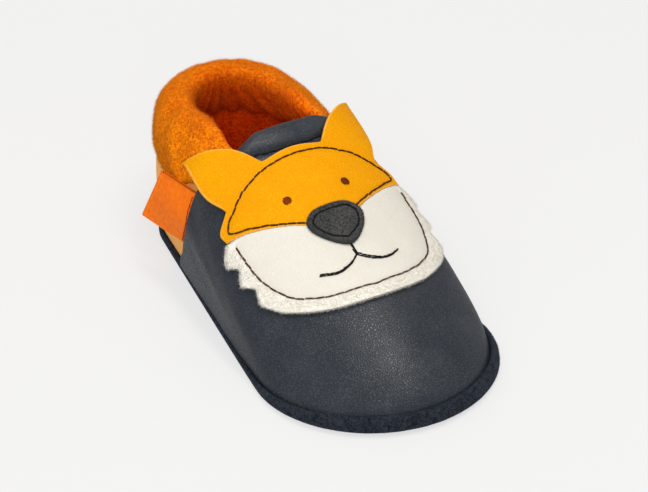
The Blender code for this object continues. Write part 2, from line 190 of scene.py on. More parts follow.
def path_distance(points: Array, path: Array) -> Array:
    """Shortest distance from plan points to a path of straight pieces.

    Args:
        points: Plan points, shape (..., 2).
        path: Points of the path, shape (m, 2).

    Returns:
        Distances, shape (...).
    """
    start = path[:-1]
    along = np.diff(path, axis=0)
    apart = points[..., None, :] - start
    squares = np.maximum(np.sum(along**2, axis=-1), TINY)
    share = np.clip(np.sum(apart * along, axis=-1) / squares, 0.0, 1.0)
    return np.min(np.linalg.norm(apart - share[..., None] * along, axis=-1), axis=-1)


@dataclass(frozen=True)
class Uneven:
    """Soft uneven form: the mean of plane waves of about one size, in seeded directions.

    Attributes:
        height: Largest height.
        size: Length of a wave.
        seed: Start of the random draws.
    """

    height: float
    size: float
    seed: int

    WAVES = 7
    SPREAD = (0.7, 1.4)

    def at(self, points: Array) -> Array:
        """Heights at points in space.

        Args:
            points: Points, shape (..., 3).

        Returns:
            Heights, shape (...).
        """
        draws = np.random.default_rng(self.seed)
        ways = unit(draws.normal(size=(self.WAVES, 3)))
        waves = ways * (2.0 * np.pi / self.size) * draws.uniform(*self.SPREAD, size=(self.WAVES, 1))
        phases = draws.uniform(0.0, 2.0 * np.pi, self.WAVES)
        return self.height * np.mean(np.sin(points @ waves.T + phases), axis=-1)


def run_length(path: Array) -> Array:
    """Length of a path from its start to each of its points."""
    return np.concatenate([[0.0], np.cumsum(np.linalg.norm(np.diff(path, axis=0), axis=1))])


def evenly(path: Array, run: Array, places: Array) -> Array:
    """Points of a path at given lengths from its start, straight between its points."""
    return np.stack([np.interp(places, run, path[:, k]) for k in range(path.shape[1])], axis=-1)


# Meshes from arrays


def closed(grid: Array) -> Array:
    """A grid with its first column again at its end."""
    return np.concatenate([grid, grid[:, :1]], axis=1)


def grid_quads(rows: int, columns: int, close_rows: bool = False, close_columns: bool = False) -> Numbers:
    """Quads of a grid of points counted row by row.

    Args:
        rows: Number of rows.
        columns: Points in a row.
        close_rows: Whether the last row joins the first.
        close_columns: Whether each row's end joins its start.

    Returns:
        Corner numbers, shape (n, 4).
    """
    numbers = np.arange(rows * columns).reshape(rows, columns)
    if close_rows:
        numbers = np.concatenate([numbers, numbers[:1]])
    if close_columns:
        numbers = closed(numbers)
    corners = [numbers[:-1, :-1], numbers[:-1, 1:], numbers[1:, 1:], numbers[1:, :-1]]
    return np.stack(corners, axis=-1).reshape(-1, 4)


def signed_volume(points: Array, faces: Numbers) -> float:
    """Volume inside faces: the sum of the tetrahedra to the origin.

    Args:
        points: Points, shape (n, 3).
        faces: Corner numbers, shape (m, corners).

    Returns:
        The volume, negative where the faces point inwards.
    """
    total = 0.0
    for k in range(1, faces.shape[1] - 1):
        a, b, c = points[faces[:, 0]], points[faces[:, k]], points[faces[:, k + 1]]
        total += float(np.sum(a * np.cross(b, c)))
    return total / 6.0


def make_mesh(name: str, points: Array, quads: Numbers, triangles: Numbers | None = None,
              uv: Array | None = None, marks: dict[str, Array] | None = None) -> Mesh:
    """Smooth mesh from arrays, with its faces turned outwards.

    Args:
        name: Name of the mesh.
        points: Points, shape (n, 3).
        quads: Corner numbers, shape (m, 4).
        triangles: Corner numbers, shape (k, 3).
        uv: Map place of each point, shape (n, 2).
        marks: Named values for each point, which materials read.

    Returns:
        The mesh.
    """
    triangles = np.zeros((0, 3), np.int64) if triangles is None else triangles
    if signed_volume(points, quads) + signed_volume(points, triangles) < 0.0:
        quads, triangles = quads[:, ::-1], triangles[:, ::-1]
    corners = np.concatenate([quads.ravel(), triangles.ravel()])
    starts = np.concatenate([np.arange(len(quads)) * 4, quads.size + np.arange(len(triangles)) * 3])
    mesh = bpy.data.meshes.new(name)
    mesh.vertices.add(len(points))
    mesh.vertices.foreach_set("co", points.astype(np.float32).ravel())
    mesh.loops.add(len(corners))
    mesh.loops.foreach_set("vertex_index", corners.astype(np.int32))
    mesh.polygons.add(len(starts))
    mesh.polygons.foreach_set("loop_start", starts.astype(np.int32))
    mesh.update(calc_edges=True)
    for mark, values in (marks or {}).items():
        layer = mesh.attributes.new(mark, "FLOAT", "POINT")
        layer.data.foreach_set("value", values.astype(np.float32).ravel())
    if uv is not None:
        layer = mesh.uv_layers.new(name=CLOTH_MAP)
        layer.uv.foreach_set("vector", uv[corners].astype(np.float32).ravel())
    mesh.shade_smooth()
    return mesh


def point_normals(mesh: Mesh) -> Array:
    """Outward normals of a mesh's points, shape (n, 3)."""
    found = np.empty(len(mesh.vertices) * 3, np.float32)
    mesh.vertex_normals.foreach_get("vector", found)
    return found.reshape(-1, 3).astype(float)


def weld(mesh: Mesh, reach: float = 2e-6) -> Mesh:
    """Close poles and spines, where points of a grid meet.

    Args:
        mesh: The mesh.
        reach: Distance up to which points are one.

    Returns:
        The same mesh.
    """
    work = bmesh.new()
    work.from_mesh(mesh)
    bmesh.ops.remove_doubles(work, verts=work.verts, dist=reach)
    bmesh.ops.dissolve_degenerate(work, edges=work.edges, dist=reach)
    work.to_mesh(mesh)
    work.free()
    mesh.shade_smooth()
    return mesh


def add_piece(mesh: Mesh, material: Material,
              replaces: tuple[Slot, ...] = ()) -> bpy.types.Object:
    """Put a piece of the shoe in the scene, on its body and in its slot.

    Args:
        mesh: Shape of the piece, in place.
        material: Its finish.
        replaces: Nodes that it stands for.

    Returns:
        The object.
    """
    mesh.materials.append(material)
    piece = bpy.data.objects.new(mesh.name, mesh)
    bpy.context.scene.collection.objects.link(piece)
    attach(piece, BODY)
    if replaces:
        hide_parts(*(node.value for node in replaces))
    log.info("%s: %d faces", piece.name, len(mesh.polygons))
    return piece


# Shader groups


@dataclass
class Graph:
    """Short ways to write a node tree."""

    tree: NodeTree

    def add(self, kind: str, inputs: dict | None = None, **settings: object) -> Node:
        """New node of a kind.

        Args:
            kind: Last part of the node's type name.
            inputs: Values or sockets for its inputs, by name or number.
            settings: Its own properties.

        Returns:
            The node.
        """
        node = self.tree.nodes.new(f"ShaderNode{kind}")
        for key, value in settings.items():
            setattr(node, key, value)
        return self.feed(node, inputs or {})

    def feed(self, node: Node, inputs: dict) -> Node:
        """Set a node's inputs, or link sockets to them.

        Args:
            node: The node.
            inputs: Values or sockets, by the inputs' names or numbers.

        Returns:
            The same node.
        """
        for key, value in inputs.items():
            if isinstance(value, Socket):
                self.tree.links.new(value, node.inputs[key])
            else:
                node.inputs[key].default_value = value
        return node

    def math(self, operation: str, first: object, second: object = 0.0) -> Socket:
        """Result of a sum on two values or sockets."""
        return self.add("Math", {0: first, 1: second}, operation=operation).outputs[0]

    def total(self, first: Socket, share: float, second: Socket,
              other_share: float) -> Socket:
        """Sum of two sockets, each times its own share."""
        parts = self.math("MULTIPLY", first, share), self.math("MULTIPLY", second, other_share)
        return self.math("ADD", *parts)

    def span(self, value: Socket, low: object, high: object, to_low: float = 0.0,
             to_high: float = 1.0) -> Socket:
        """A value eased from low and high to to_low and to_high."""
        inputs = {"Value": value, "From Min": low, "From Max": high, "To Min": to_low, "To Max": to_high}
        return self.add("MapRange", inputs, interpolation_type="SMOOTHSTEP").outputs["Result"]

    def blend(self, share: object, first: object, second: object) -> Socket:
        """Colour between two colours."""
        return self.add("Mix", {0: share, 6: first, 7: second}, data_type="RGBA").outputs[2]

    def noise(self, place: Socket, scale: object, detail: float = 2.0,
              roughness: float = 0.5) -> Socket:
        """Cloudy noise from 0 to 1."""
        inputs = {"Vector": place, "Scale": scale, "Detail": detail, "Roughness": roughness}
        return self.add("TexNoise", inputs).outputs[0]

    def bump(self, height: Socket, distance: float) -> Socket:
        """Normals of a surface raised by a height from 0 to 1, times a distance."""
        return self.add("Bump", {"Height": height, "Distance": distance, "Strength": 1.0}).outputs[0]

    def mark(self, name: str) -> Socket:
        """Value of a mesh's named mark."""
        return self.add("Attribute", attribute_name=name).outputs["Fac"]

    def effect(self, effect: "Effect", place: Socket, light: Colour, dark: Colour,
               scale: float) -> Node:
        """A shared effect's group, with its own colours and scale."""
        inputs = {"Position": place, "Light": (*light, 1.0), "Dark": (*dark, 1.0), "Scale": scale}
        return self.add("Group", inputs, node_tree=effect.group())


# Scales of the effects' layers, as factors on the effect's own scale, and how much a layer counts
TIP_SCALE, STROKE_SCALE = 2.6, 0.09
TIP_SHARE, STROKE_SHARE = 0.62, 0.12
BEND_SCALE, PORE_SCALE, TONE_SCALE = 0.6, 3.1, 0.06
BEND_REACH, VALLEY_WIDTH = 0.0007, 0.32


class Effect(str, Enum):
    """Surface effects that several finishes share."""

    NAP = "suede_nap"
    GRAIN = "leather_grain"

    def group(self) -> NodeTree:
        """The effect's node group, built at its first use."""
        known = bpy.data.node_groups.get(self.value)
        if known is not None:
            return known
        tree = bpy.data.node_groups.new(self.value, "ShaderNodeTree")
        sockets = [("Position", "Vector"), ("Light", "Color"), ("Dark", "Color"), ("Scale", "Float")]
        for name, kind in sockets:
            tree.interface.new_socket(name=name, in_out="INPUT", socket_type=f"NodeSocket{kind}")
        for name, kind in (("Colour", "Color"), ("Height", "Float"), ("Roughness", "Float")):
            tree.interface.new_socket(name=name, in_out="OUTPUT", socket_type=f"NodeSocket{kind}")
        graph = Graph(tree)
        given = tree.nodes.new("NodeGroupInput")
        result = tree.nodes.new("NodeGroupOutput")
        made = self._nap(graph, given) if self is Effect.NAP else self._grain(graph, given)
        for socket, target in zip(made, result.inputs):
            tree.links.new(socket, target)
        return tree

    @staticmethod
    def _nap(graph: Graph, given: Node) -> tuple[Socket, ...]:
        """Brushed fibres: fine tips over clumps over broad strokes, light on the tips and dark between them,
        partly the nap's own uneven tone and partly painted highlight on the tips and painted shade between
        them.

        Args:
            graph: Where the nodes go.
            given: Group input.

        Returns:
            Colour, height and roughness.
        """
        place, scale = given.outputs["Position"], given.outputs["Scale"]
        tips = graph.noise(place, graph.math("MULTIPLY", scale, TIP_SCALE), 3.0, 0.65)
        clumps = graph.noise(place, scale, 2.0)
        strokes = graph.noise(place, graph.math("MULTIPLY", scale, STROKE_SCALE), 3.0, 0.6)
        mixed = graph.total(tips, TIP_SHARE, clumps, 1.0 - TIP_SHARE)
        share = graph.span(graph.total(mixed, 1.0 - STROKE_SHARE, strokes, STROKE_SHARE), 0.39, 0.61)
        # Partly painted light: the lighter tips and darker gaps stand in for light caught on the fibres and
        # shade between them.
        colour = graph.blend(share, given.outputs["Dark"], given.outputs["Light"])
        return colour, mixed, graph.span(tips, 0.2, 0.8, 0.98, 0.82)

    @staticmethod
    def _grain(graph: Graph, given: Node) -> tuple[Socket, ...]:
        """Fine pebbles with creased valleys between them, and a slow change of tone; the pebble tops are
        lighter in colour, partly grain and partly painted glint.

        Args:
            graph: Where the nodes go.
            given: Group input.

        Returns:
            Colour, height and roughness.
        """
        place, scale = given.outputs["Position"], given.outputs["Scale"]
        coarse = graph.math("MULTIPLY", scale, BEND_SCALE)
        bend = graph.add("TexNoise", {"Vector": place, "Scale": coarse, "Detail": 1.0}).outputs["Color"]
        moved = graph.add("VectorMath", {0: bend, "Scale": BEND_REACH}, operation="SCALE").outputs[0]
        bent = graph.add("VectorMath", {0: place, 1: moved}, operation="ADD").outputs[0]
        cells = graph.add("TexVoronoi", {"Vector": bent, "Scale": scale}, feature="DISTANCE_TO_EDGE")
        pebble = graph.span(cells.outputs[0], 0.0, VALLEY_WIDTH)
        pores = graph.noise(place, graph.math("MULTIPLY", scale, PORE_SCALE), 2.0)
        tone = graph.noise(place, graph.math("MULTIPLY", scale, TONE_SCALE), 3.0, 0.6)
        height = graph.total(pebble, 0.7, pores, 0.5)
        # Colour: mostly a slow change of tone, with lighter pebble tops that are partly the grain and partly
        # painted glint.
        share = graph.span(graph.total(tone, 0.65, pebble, 0.35), 0.30, 0.75)
        colour = graph.blend(share, given.outputs["Dark"], given.outputs["Light"])
        return colour, height, graph.span(height, 0.3, 1.1, 0.74, 0.36)


# Finishes


def start_material(name: str) -> tuple[Material, Graph, Node, Socket]:
    """New material.

    Args:
        name: Its name.

    Returns:
        The material, its graph, its shader and the object's own coordinates.
    """
    material = bpy.data.materials.new(name)
    material.use_nodes = True
    graph = Graph(material.node_tree)
    shader = material.node_tree.nodes["Principled BSDF"]
    return material, graph, shader, graph.add("TexCoord").outputs["Object"]


@dataclass(frozen=True)
class Finish:
    """Finish of a piece.

    Attributes:
        name: Name of the material.
        light: Colour of its raised parts.
        dark: Colour between them.
    """

    name: str
    light: Colour
    dark: Colour

    def tone(self, graph: Graph, share: Socket) -> Socket:
        """Colour from dark to light."""
        return graph.blend(share, (*self.dark, 1.0), (*self.light, 1.0))


@dataclass(frozen=True)
class Suede(Finish):
    """Napped leather.

    Attributes:
        scale: Clumps in a metre.
        bump: Height of the nap.
        sheen: Soft light along the outline.
        sheen_tint: Colour of that light.
        fibres: True for single fibres, which read their shade from the mesh.
        inside_shade: Painted shade: share of each colour that is left far inside the shoe, where the mesh's
            deep mark is 1.
        shine: Strength of its mirror light.
        sheen_roughness: How broad the soft light is.
        fibre_share: How much a fibre's own shade counts beside the nap's.
    """

    scale: float = 900.0
    bump: float = 0.0004
    sheen: float = 0.35
    sheen_tint: Colour = (1.0, 0.62, 0.30)
    fibres: bool = False
    inside_shade: Colour | None = None
    shine: float = 0.08
    sheen_roughness: float = 0.45
    fibre_share: float = 0.65

    def material(self) -> Material:
        """Build the material: the nap's colour, roughness and height, or the fibre's shade."""
        material, graph, shader, place = start_material(self.name)
        nap = graph.effect(Effect.NAP, place, self.light, self.dark, self.scale)
        colour = nap.outputs["Colour"]
        if self.fibres:
            colour = graph.blend(self.fibre_share, colour, self.tone(graph, graph.mark("shade")))
        else:
            graph.feed(shader, {"Normal": graph.bump(nap.outputs["Height"], self.bump)})
        # Painted shade: the colour is darkened and reddened where the mesh marks the inside of the shoe.
        if self.inside_shade is not None:
            tint = graph.blend(graph.mark("inside_shade"), WHITE, (*self.inside_shade, 1.0))
            dyed = graph.add("Mix", {0: 1.0, 6: colour, 7: tint}, data_type="RGBA", blend_type="MULTIPLY")
            colour = dyed.outputs[2]
        graph.feed(shader, {
            "Base Color": colour,
            "Roughness": nap.outputs["Roughness"],
            "Specular IOR Level": self.shine,
            "Sheen Weight": self.sheen,
            "Sheen Roughness": self.sheen_roughness,
            "Sheen Tint": (*self.sheen_tint, 1.0),
        })
        return material


@dataclass(frozen=True)
class Leather(Finish):
    """Smooth leather with a fine grain.

    Attributes:
        scale: Pebbles in a metre.
        bump: Height of the grain.
        shine: Strength of its mirror light.
        matt: Factor on its roughness.
        raw: Colour of the cut edge, where the mesh's raw mark is 1.
        raw_shade: Share of that colour between the edge's fibres.
        raw_scale: Clumps of its fibres in a metre.
        raw_relief: Their height, as a factor on the grain's.
    """

    scale: float = 1500.0
    bump: float = 0.00012
    shine: float = 0.2
    matt: float = 1.0
    raw: Colour | None = None
    raw_shade: float = 0.84
    raw_scale: float = 1400.0
    raw_relief: float = 2.5

    def material(self) -> Material:
        """Build the material: grain over colour, and the fibrous cut edge where there is one."""
        material, graph, shader, place = start_material(self.name)
        grain = graph.effect(Effect.GRAIN, place, self.light, self.dark, self.scale)
        colour, height, rough = (grain.outputs[name] for name in ("Colour", "Height", "Roughness"))
        if self.raw is not None:
            raw = graph.mark("raw")
            between = tuple(self.raw_shade * x for x in self.raw)
            nap = graph.effect(Effect.NAP, place, self.raw, between, self.raw_scale)
            colour = graph.blend(raw, colour, nap.outputs["Colour"])
            fibres = graph.math("MULTIPLY", nap.outputs["Height"], self.raw_relief)
            height = graph.add("Mix", {0: raw, 2: height, 3: fibres}).outputs[0]
            rough = graph.add("Mix", {0: raw, 2: rough, 3: nap.outputs["Roughness"]}).outputs[0]
        graph.feed(shader, {
            "Base Color": colour,
            "Normal": graph.bump(height, self.bump),
            "Roughness": graph.math("MULTIPLY", rough, self.matt),
            "Specular IOR Level": self.shine,
        })
        return material


@dataclass(frozen=True)
class ThreadFinish(Finish):
    """Twisted sewing thread.

    Attributes:
        slant: Angle of the plies to the thread.
        twist: Plies in a unit of the stitch's map.
        bump: Height of a ply.
        shine: Strength of its mirror light.
    """

    slant: float = 0.7
    twist: float = 2.2
    bump: float = 0.00006
    shine: float = 0.15

    def material(self) -> Material:
        """Build the material: slanting plies along each stitch, from the stitch's own map."""
        material, graph, shader, _ = start_material(self.name)
        place = graph.add("UVMap", uv_map=CLOTH_MAP).outputs[0]
        slant = graph.add("Mapping", {"Vector": place, "Rotation": (0.0, 0.0, self.slant)}).outputs[0]
        waves = {"Vector": slant, "Scale": self.twist, "Distortion": 0.6, "Detail": 1.0}
        plies = graph.add("TexWave", waves).outputs["Fac"]
        graph.feed(shader, {
            "Base Color": self.tone(graph, plies),
            "Normal": graph.bump(plies, self.bump),
            "Roughness": graph.span(plies, 0.0, 1.0, 0.75, 0.55),
            "Specular IOR Level": self.shine,
        })
        return material


@dataclass(frozen=True)
class Ribbon(Finish):
    """Woven satin ribbon.

    Attributes:
        threads: Threads across the ribbon.
        uneven_scale: Uneven spots in a metre.
        bump: Height of a thread.
        shine: Strength of its mirror light.
    """

    threads: float = 46.0
    uneven_scale: float = 700.0
    bump: float = 0.00002
    shine: float = 0.10

    def material(self) -> Material:
        """Build the material: two crossing rows of threads on the ribbon's own map, in an uneven tone."""
        material, graph, shader, position = start_material(self.name)
        place = graph.add("UVMap", uv_map=CLOTH_MAP).outputs[0]
        waves = {"Vector": place, "Distortion": 0.4, "Detail": 1.0}
        warp = graph.add("TexWave", {**waves, "Scale": self.threads / 6.0}, bands_direction="Y")
        weft = graph.add("TexWave", {**waves, "Scale": self.threads / 3.0}, bands_direction="X")
        cloth = graph.total(warp.outputs["Fac"], 0.65, weft.outputs["Fac"], 0.35)
        uneven = graph.noise(position, self.uneven_scale, 3.0, 0.6)
        tone = graph.span(graph.total(cloth, 0.15, uneven, 0.85), 0.15, 0.85)
        graph.feed(shader, {
            "Base Color": self.tone(graph, tone),
            "Normal": graph.bump(cloth, self.bump),
            "Roughness": graph.span(uneven, 0.2, 0.8, 0.62, 0.45),
            "Specular IOR Level": self.shine,
        })
        return material


# The last


@dataclass
class Last:
    """Form that the shoe is drawn over: the sole's outline and the skin of the upper.

    A station counts around the shoe as a share of the outline, 0 at the toe, rising over the outer side. A
    row goes from 0 at the foot of the wall to 1 at the collar's rim.

    Attributes:
        gap: Room left between two layers.
        cuff_row: Row of the cuff's lower edge.
        hem_inner_reach: How much further round the hem goes on the inner side.
        search_stations: First, last and number of the stations that a search on the skin starts from.
        search_limits: Lowest and highest row that it may find.
        sections: Rows of station, inset, rise, lean, run, drop, rim and cuff, from the toe to the heel.
        edge: Rows of station, lip, roll, shoulder, tuck and floor of the sole's edge.
    """

    length: float = 0.130
    ball_width: float = 0.0665
    heel_width: float = 0.0430
    toe_depth: float = 0.032
    toe_shift: float = -0.0022
    outline_blend: float = 0.001
    throat_y: float = 0.0202
    back_y: float = 0.0582
    rim_half_width: float = 0.0154
    sole_thickness: float = 0.0015
    gap: float = 0.00042
    cuff_row: float = 0.70
    hem_inner_reach: float = 0.018
    outline_points: int = 1440
    facing_step: float = 0.002
    search_stations: Span = (-0.30, 0.30, 61)
    search_rows: Span = (0.25, 1.0, 46)
    search_block: int = 2000
    search_step: float = 0.001
    search_rounds: int = 10
    search_limits: Pair = (0.15, 1.05)
    section_columns: tuple[str, ...] = ("station", "inset", "rise", "lean", "run", "drop", "rim", "cuff")
    sections: Table = (
        (0.00, 0.0046, 0.0135, 0.0020, 0.0305, 0.0180, 0.0447, 0.80),
        (0.10, 0.0043, 0.0070, 0.0004, 0.0255, 0.0180, 0.0440, 0.80),
        (0.15, 0.0037, 0.0070, 0.0002, 0.0200, 0.0175, 0.0435, 0.80),
        (0.20, 0.0027, 0.0080, 0.0002, 0.0145, 0.0150, 0.0427, 0.77),
        (0.30, 0.0020, 0.0125, 0.0015, 0.0124, 0.0035, 0.0420, 0.56),
        (0.40, 0.0014, 0.0150, 0.0030, 0.0124, 0.0005, 0.0428, 0.48),
        (0.50, 0.0011, 0.0140, 0.0034, 0.0099, 0.0035, 0.0435, 0.48),
    )
    edge_columns: tuple[str, ...] = ("station", "lip", "roll", "shoulder", "tuck", "floor")
    edge: Table = (
        (0.00, 0.0050, 0.0050, 0.0019, 0.0029, 0.0027),
        (0.08, 0.0047, 0.0046, 0.0019, 0.0028, 0.0025),
        (0.12, 0.0040, 0.0042, 0.0014, 0.0021, 0.0021),
        (0.16, 0.0029, 0.0035, 0.0010, 0.0015, 0.0018),
        (0.20, 0.0019, 0.0030, 0.0006, 0.0009, 0.0011),
        (0.25, 0.0016, 0.0026, 0.0007, 0.0024, 0.0030),
        (0.50, 0.0016, 0.0026, 0.0007, 0.0024, 0.0030),
    )
    outline: Array = field(init=False)
    outward: Array = field(init=False)

    def __post_init__(self) -> None:
        """Work out the sole's outline once."""
        self.outline, self.outward = self._outline(self.outline_points)

    def _outline(self, count: int) -> tuple[Array, Array]:
        """Outline of the sole: a toe ellipse and a heel circle, blended where their tangent lines meet.

        Args:
            count: Points around it.

        Returns:
            Evenly spaced points and their outward normals, each of shape (count, 2).
        """
        turn = np.linspace(0.0, 2.0 * np.pi, count, endpoint=False)
        facing = np.stack([-np.sin(turn), -np.cos(turn)], axis=1)

        def oval(centre: Row, half: Row) -> tuple[Array, Array]:
            """Points of an oval by facing, and how far it reaches that way."""
            reach = np.hypot(half[0] * facing[:, 0], half[1] * facing[:, 1])
            points = np.array(centre) + np.array(half) ** 2 * facing / reach[:, None]
            return points, facing @ np.array(centre) + reach

        toe_centre = (self.toe_shift, self.toe_depth - self.length / 2)
        toe, toe_reach = oval(toe_centre, (self.ball_width / 2, self.toe_depth))
        heel, heel_reach = oval((0.0, (self.length - self.heel_width) / 2), (self.heel_width / 2,) * 2)
        share = 1.0 / (1.0 + np.exp((heel_reach - toe_reach) / self.outline_blend))
        points = toe * share[:, None] + heel * (1.0 - share)[:, None]
        loop = np.vstack([points, points[:1]])
        run = run_length(loop)
        points = evenly(loop, run, np.linspace(0.0, run[-1], count, endpoint=False))
        normals = outward_normals(points)
        return points, normals * np.sign(np.sum(normals * points))

    def section(self, column: str, station: Array) -> Array:
        """One column of the sections at stations from -0.5 to 0.5."""
        table = np.array(self.sections)
        return through_rows(np.abs(station), table[:, 0], table[:, self.section_columns.index(column)])

    def sole_edge(self, column: str, station: Array) -> Array:
        """One column of the sole's edge at stations from -0.5 to 0.5."""
        table = np.array(self.edge)
        return through_rows(np.abs(station), table[:, 0], table[:, self.edge_columns.index(column)])

    def around(self, station: Array, values: Array) -> Array:
        """A column of the outline at any station."""
        return np.interp(station % 1.0, np.arange(len(values)) / len(values), values, period=1.0)

    def plan(self, station: Array, inset: Array) -> Array:
        """Plan point of the outline, moved inwards."""
        middle = [self.around(station, place) - inset * self.around(station, way)
                  for place, way in zip(self.outline.T, self.outward.T)]
        return np.stack(middle, axis=-1)

    def skin(self, station: Array, row: Array) -> Array:
        """Point on the outside of the upper: a cubic profile from the sole up to the collar's oval rim.

        Args:
            station: Stations.
            row: Rows, 0 at the foot of the wall, 1 at the rim.

        Returns:
            Points, shape (..., 3).
        """
        station, row = np.broadcast_arrays(np.asarray(station, float), np.asarray(row, float))
        side = (station + 0.5) % 1.0 - 0.5
        cuff = self.section("cuff", side)
        below = row / self.cuff_row * cuff
        above = cuff + (row - self.cuff_row) / (1.0 - self.cuff_row) * (1.0 - cuff)
        share = np.where(row < self.cuff_row, below, above)[..., None]
        foot_plan = self.plan(station, self.section("inset", side))
        foot = np.concatenate([foot_plan, np.full((*row.shape, 1), self.sole_thickness + self.gap)], axis=-1)
        lean = self.section("lean", side)
        foot_handle = foot + np.stack([
            lean * self.around(station, self.outward[:, 0]),
            lean * self.around(station, self.outward[:, 1]),
            self.section("rise", side),
        ], axis=-1)
        turn = 2.0 * np.pi * station
        square = (np.cos(turn) ** 4 + np.sin(turn) ** 4) ** -0.25
        reach = np.where(np.cos(turn) > 0.0, square, 1.0)
        rim = np.stack([
            -self.rim_half_width * reach * np.sin(turn),
            (self.throat_y + self.back_y) / 2 - (self.back_y - self.throat_y) / 2 * reach * np.cos(turn),
            self.section("rim", side),
        ], axis=-1)
        run = self.section("run", side)
        drop = self.section("drop", side)
        rim_handle = rim - np.stack([run * np.sin(turn), run * np.cos(turn), drop], axis=-1)
        rest = 1.0 - share
        return (rest**3 * foot + 3 * rest**2 * share * foot_handle
                + 3 * rest * share**2 * rim_handle + share**3 * rim)

    def facing(self, station: Array, row: Array) -> tuple[Array, Array]:
        """Directions of the skin, from small steps both ways.

        Args:
            station: Stations.
            row: Rows.

        Returns:
            Outward normal and the direction up the profile, each of shape (..., 3).
        """
        step = self.facing_step
        across = self.skin(station + step, row) - self.skin(station - step, row)
        up = self.skin(station, row + step) - self.skin(station, row - step)
        return unit(np.cross(up, across)), unit(up)

    def along_hem(self, station: Array) -> Array:
        """Share of the outline from the throat's middle, counted from further round on the inner side."""
        return np.where(station < 0.0, -station - self.hem_inner_reach, station)

    def lifted(self, station: Array, row: Array, offset: Array) -> Array:
        """Skin point moved out along the skin's normal."""
        return self.skin(station, row) + np.asarray(offset)[..., None] * self.facing(station, row)[0]

    def on_skin(self, plan: Array) -> tuple[Array, Array]:
        """Station and row of the skin above plan points on the front of the shoe, by Newton's steps.

        Args:
            plan: Plan points, shape (..., 2).

        Returns:
            Stations and rows, each of shape (...).
        """
        target = plan.reshape(-1, 2)
        stations, rows = np.meshgrid(np.linspace(*self.search_stations), np.linspace(*self.search_rows))
        samples = self.skin(stations, rows)[..., :2].reshape(-1, 2).astype(np.float32)
        nearest = np.concatenate([
            np.argmin((samples[:, 0] - part[:, :1]) ** 2 + (samples[:, 1] - part[:, 1:]) ** 2, axis=1)
            for part in np.array_split(target.astype(np.float32), len(target) // self.search_block + 1)])
        station, row = stations.ravel()[nearest], rows.ravel()[nearest]
        step = self.search_step
        for _ in range(self.search_rounds):
            here = self.skin(station, row)[:, :2]
            by_station = (self.skin(station + step, row)[:, :2] - here) / step
            by_row = (self.skin(station, row + step)[:, :2] - here) / step
            miss = target - here
            det = by_station[:, 0] * by_row[:, 1] - by_station[:, 1] * by_row[:, 0]
            station = station + (miss[:, 0] * by_row[:, 1] - miss[:, 1] * by_row[:, 0]) / det
            row = row + (by_station[:, 0] * miss[:, 1] - by_station[:, 1] * miss[:, 0]) / det
            row = np.clip(row, *self.search_limits)
        return station.reshape(plan.shape[:-1]), row.reshape(plan.shape[:-1])


def stations_around(count: int) -> Array:
    """Even stations around the whole shoe, from 0 up to 0.5 and on from -0.5."""
    return (np.arange(count) / count + 0.5) % 1.0 - 0.5


@dataclass(frozen=True)
class Crease:
    """Soft trough or ridge, placed on the skin.

    Attributes:
        station: Station of its middle.
        row: Row of its middle.
        length: Half length, as a share of the shoe's outline.
        width: Half width, in the same share.
        turn: Angle from the way around the shoe, in degrees.
        height: Height of its middle, below 0 for a trough.
    """

    station: float
    row: float
    length: float
    width: float
    turn: float
    height: float

    ROW_SHARE = 0.20

    def form(self, station: Array, row: Array) -> Array:
        """Height at points of the skin: a bell curve, long one way and narrow the other.

        Args:
            station: Stations.
            row: Rows, which count as a share of the outline too.

        Returns:
            Heights.
        """
        angle = np.radians(self.turn)
        around, up = station - self.station, (row - self.row) * self.ROW_SHARE
        along = around * np.cos(angle) + up * np.sin(angle)
        across = up * np.cos(angle) - around * np.sin(angle)
        return self.height * np.exp(-((along / self.length) ** 2) - (across / self.width) ** 2)


# Fibres and stitches


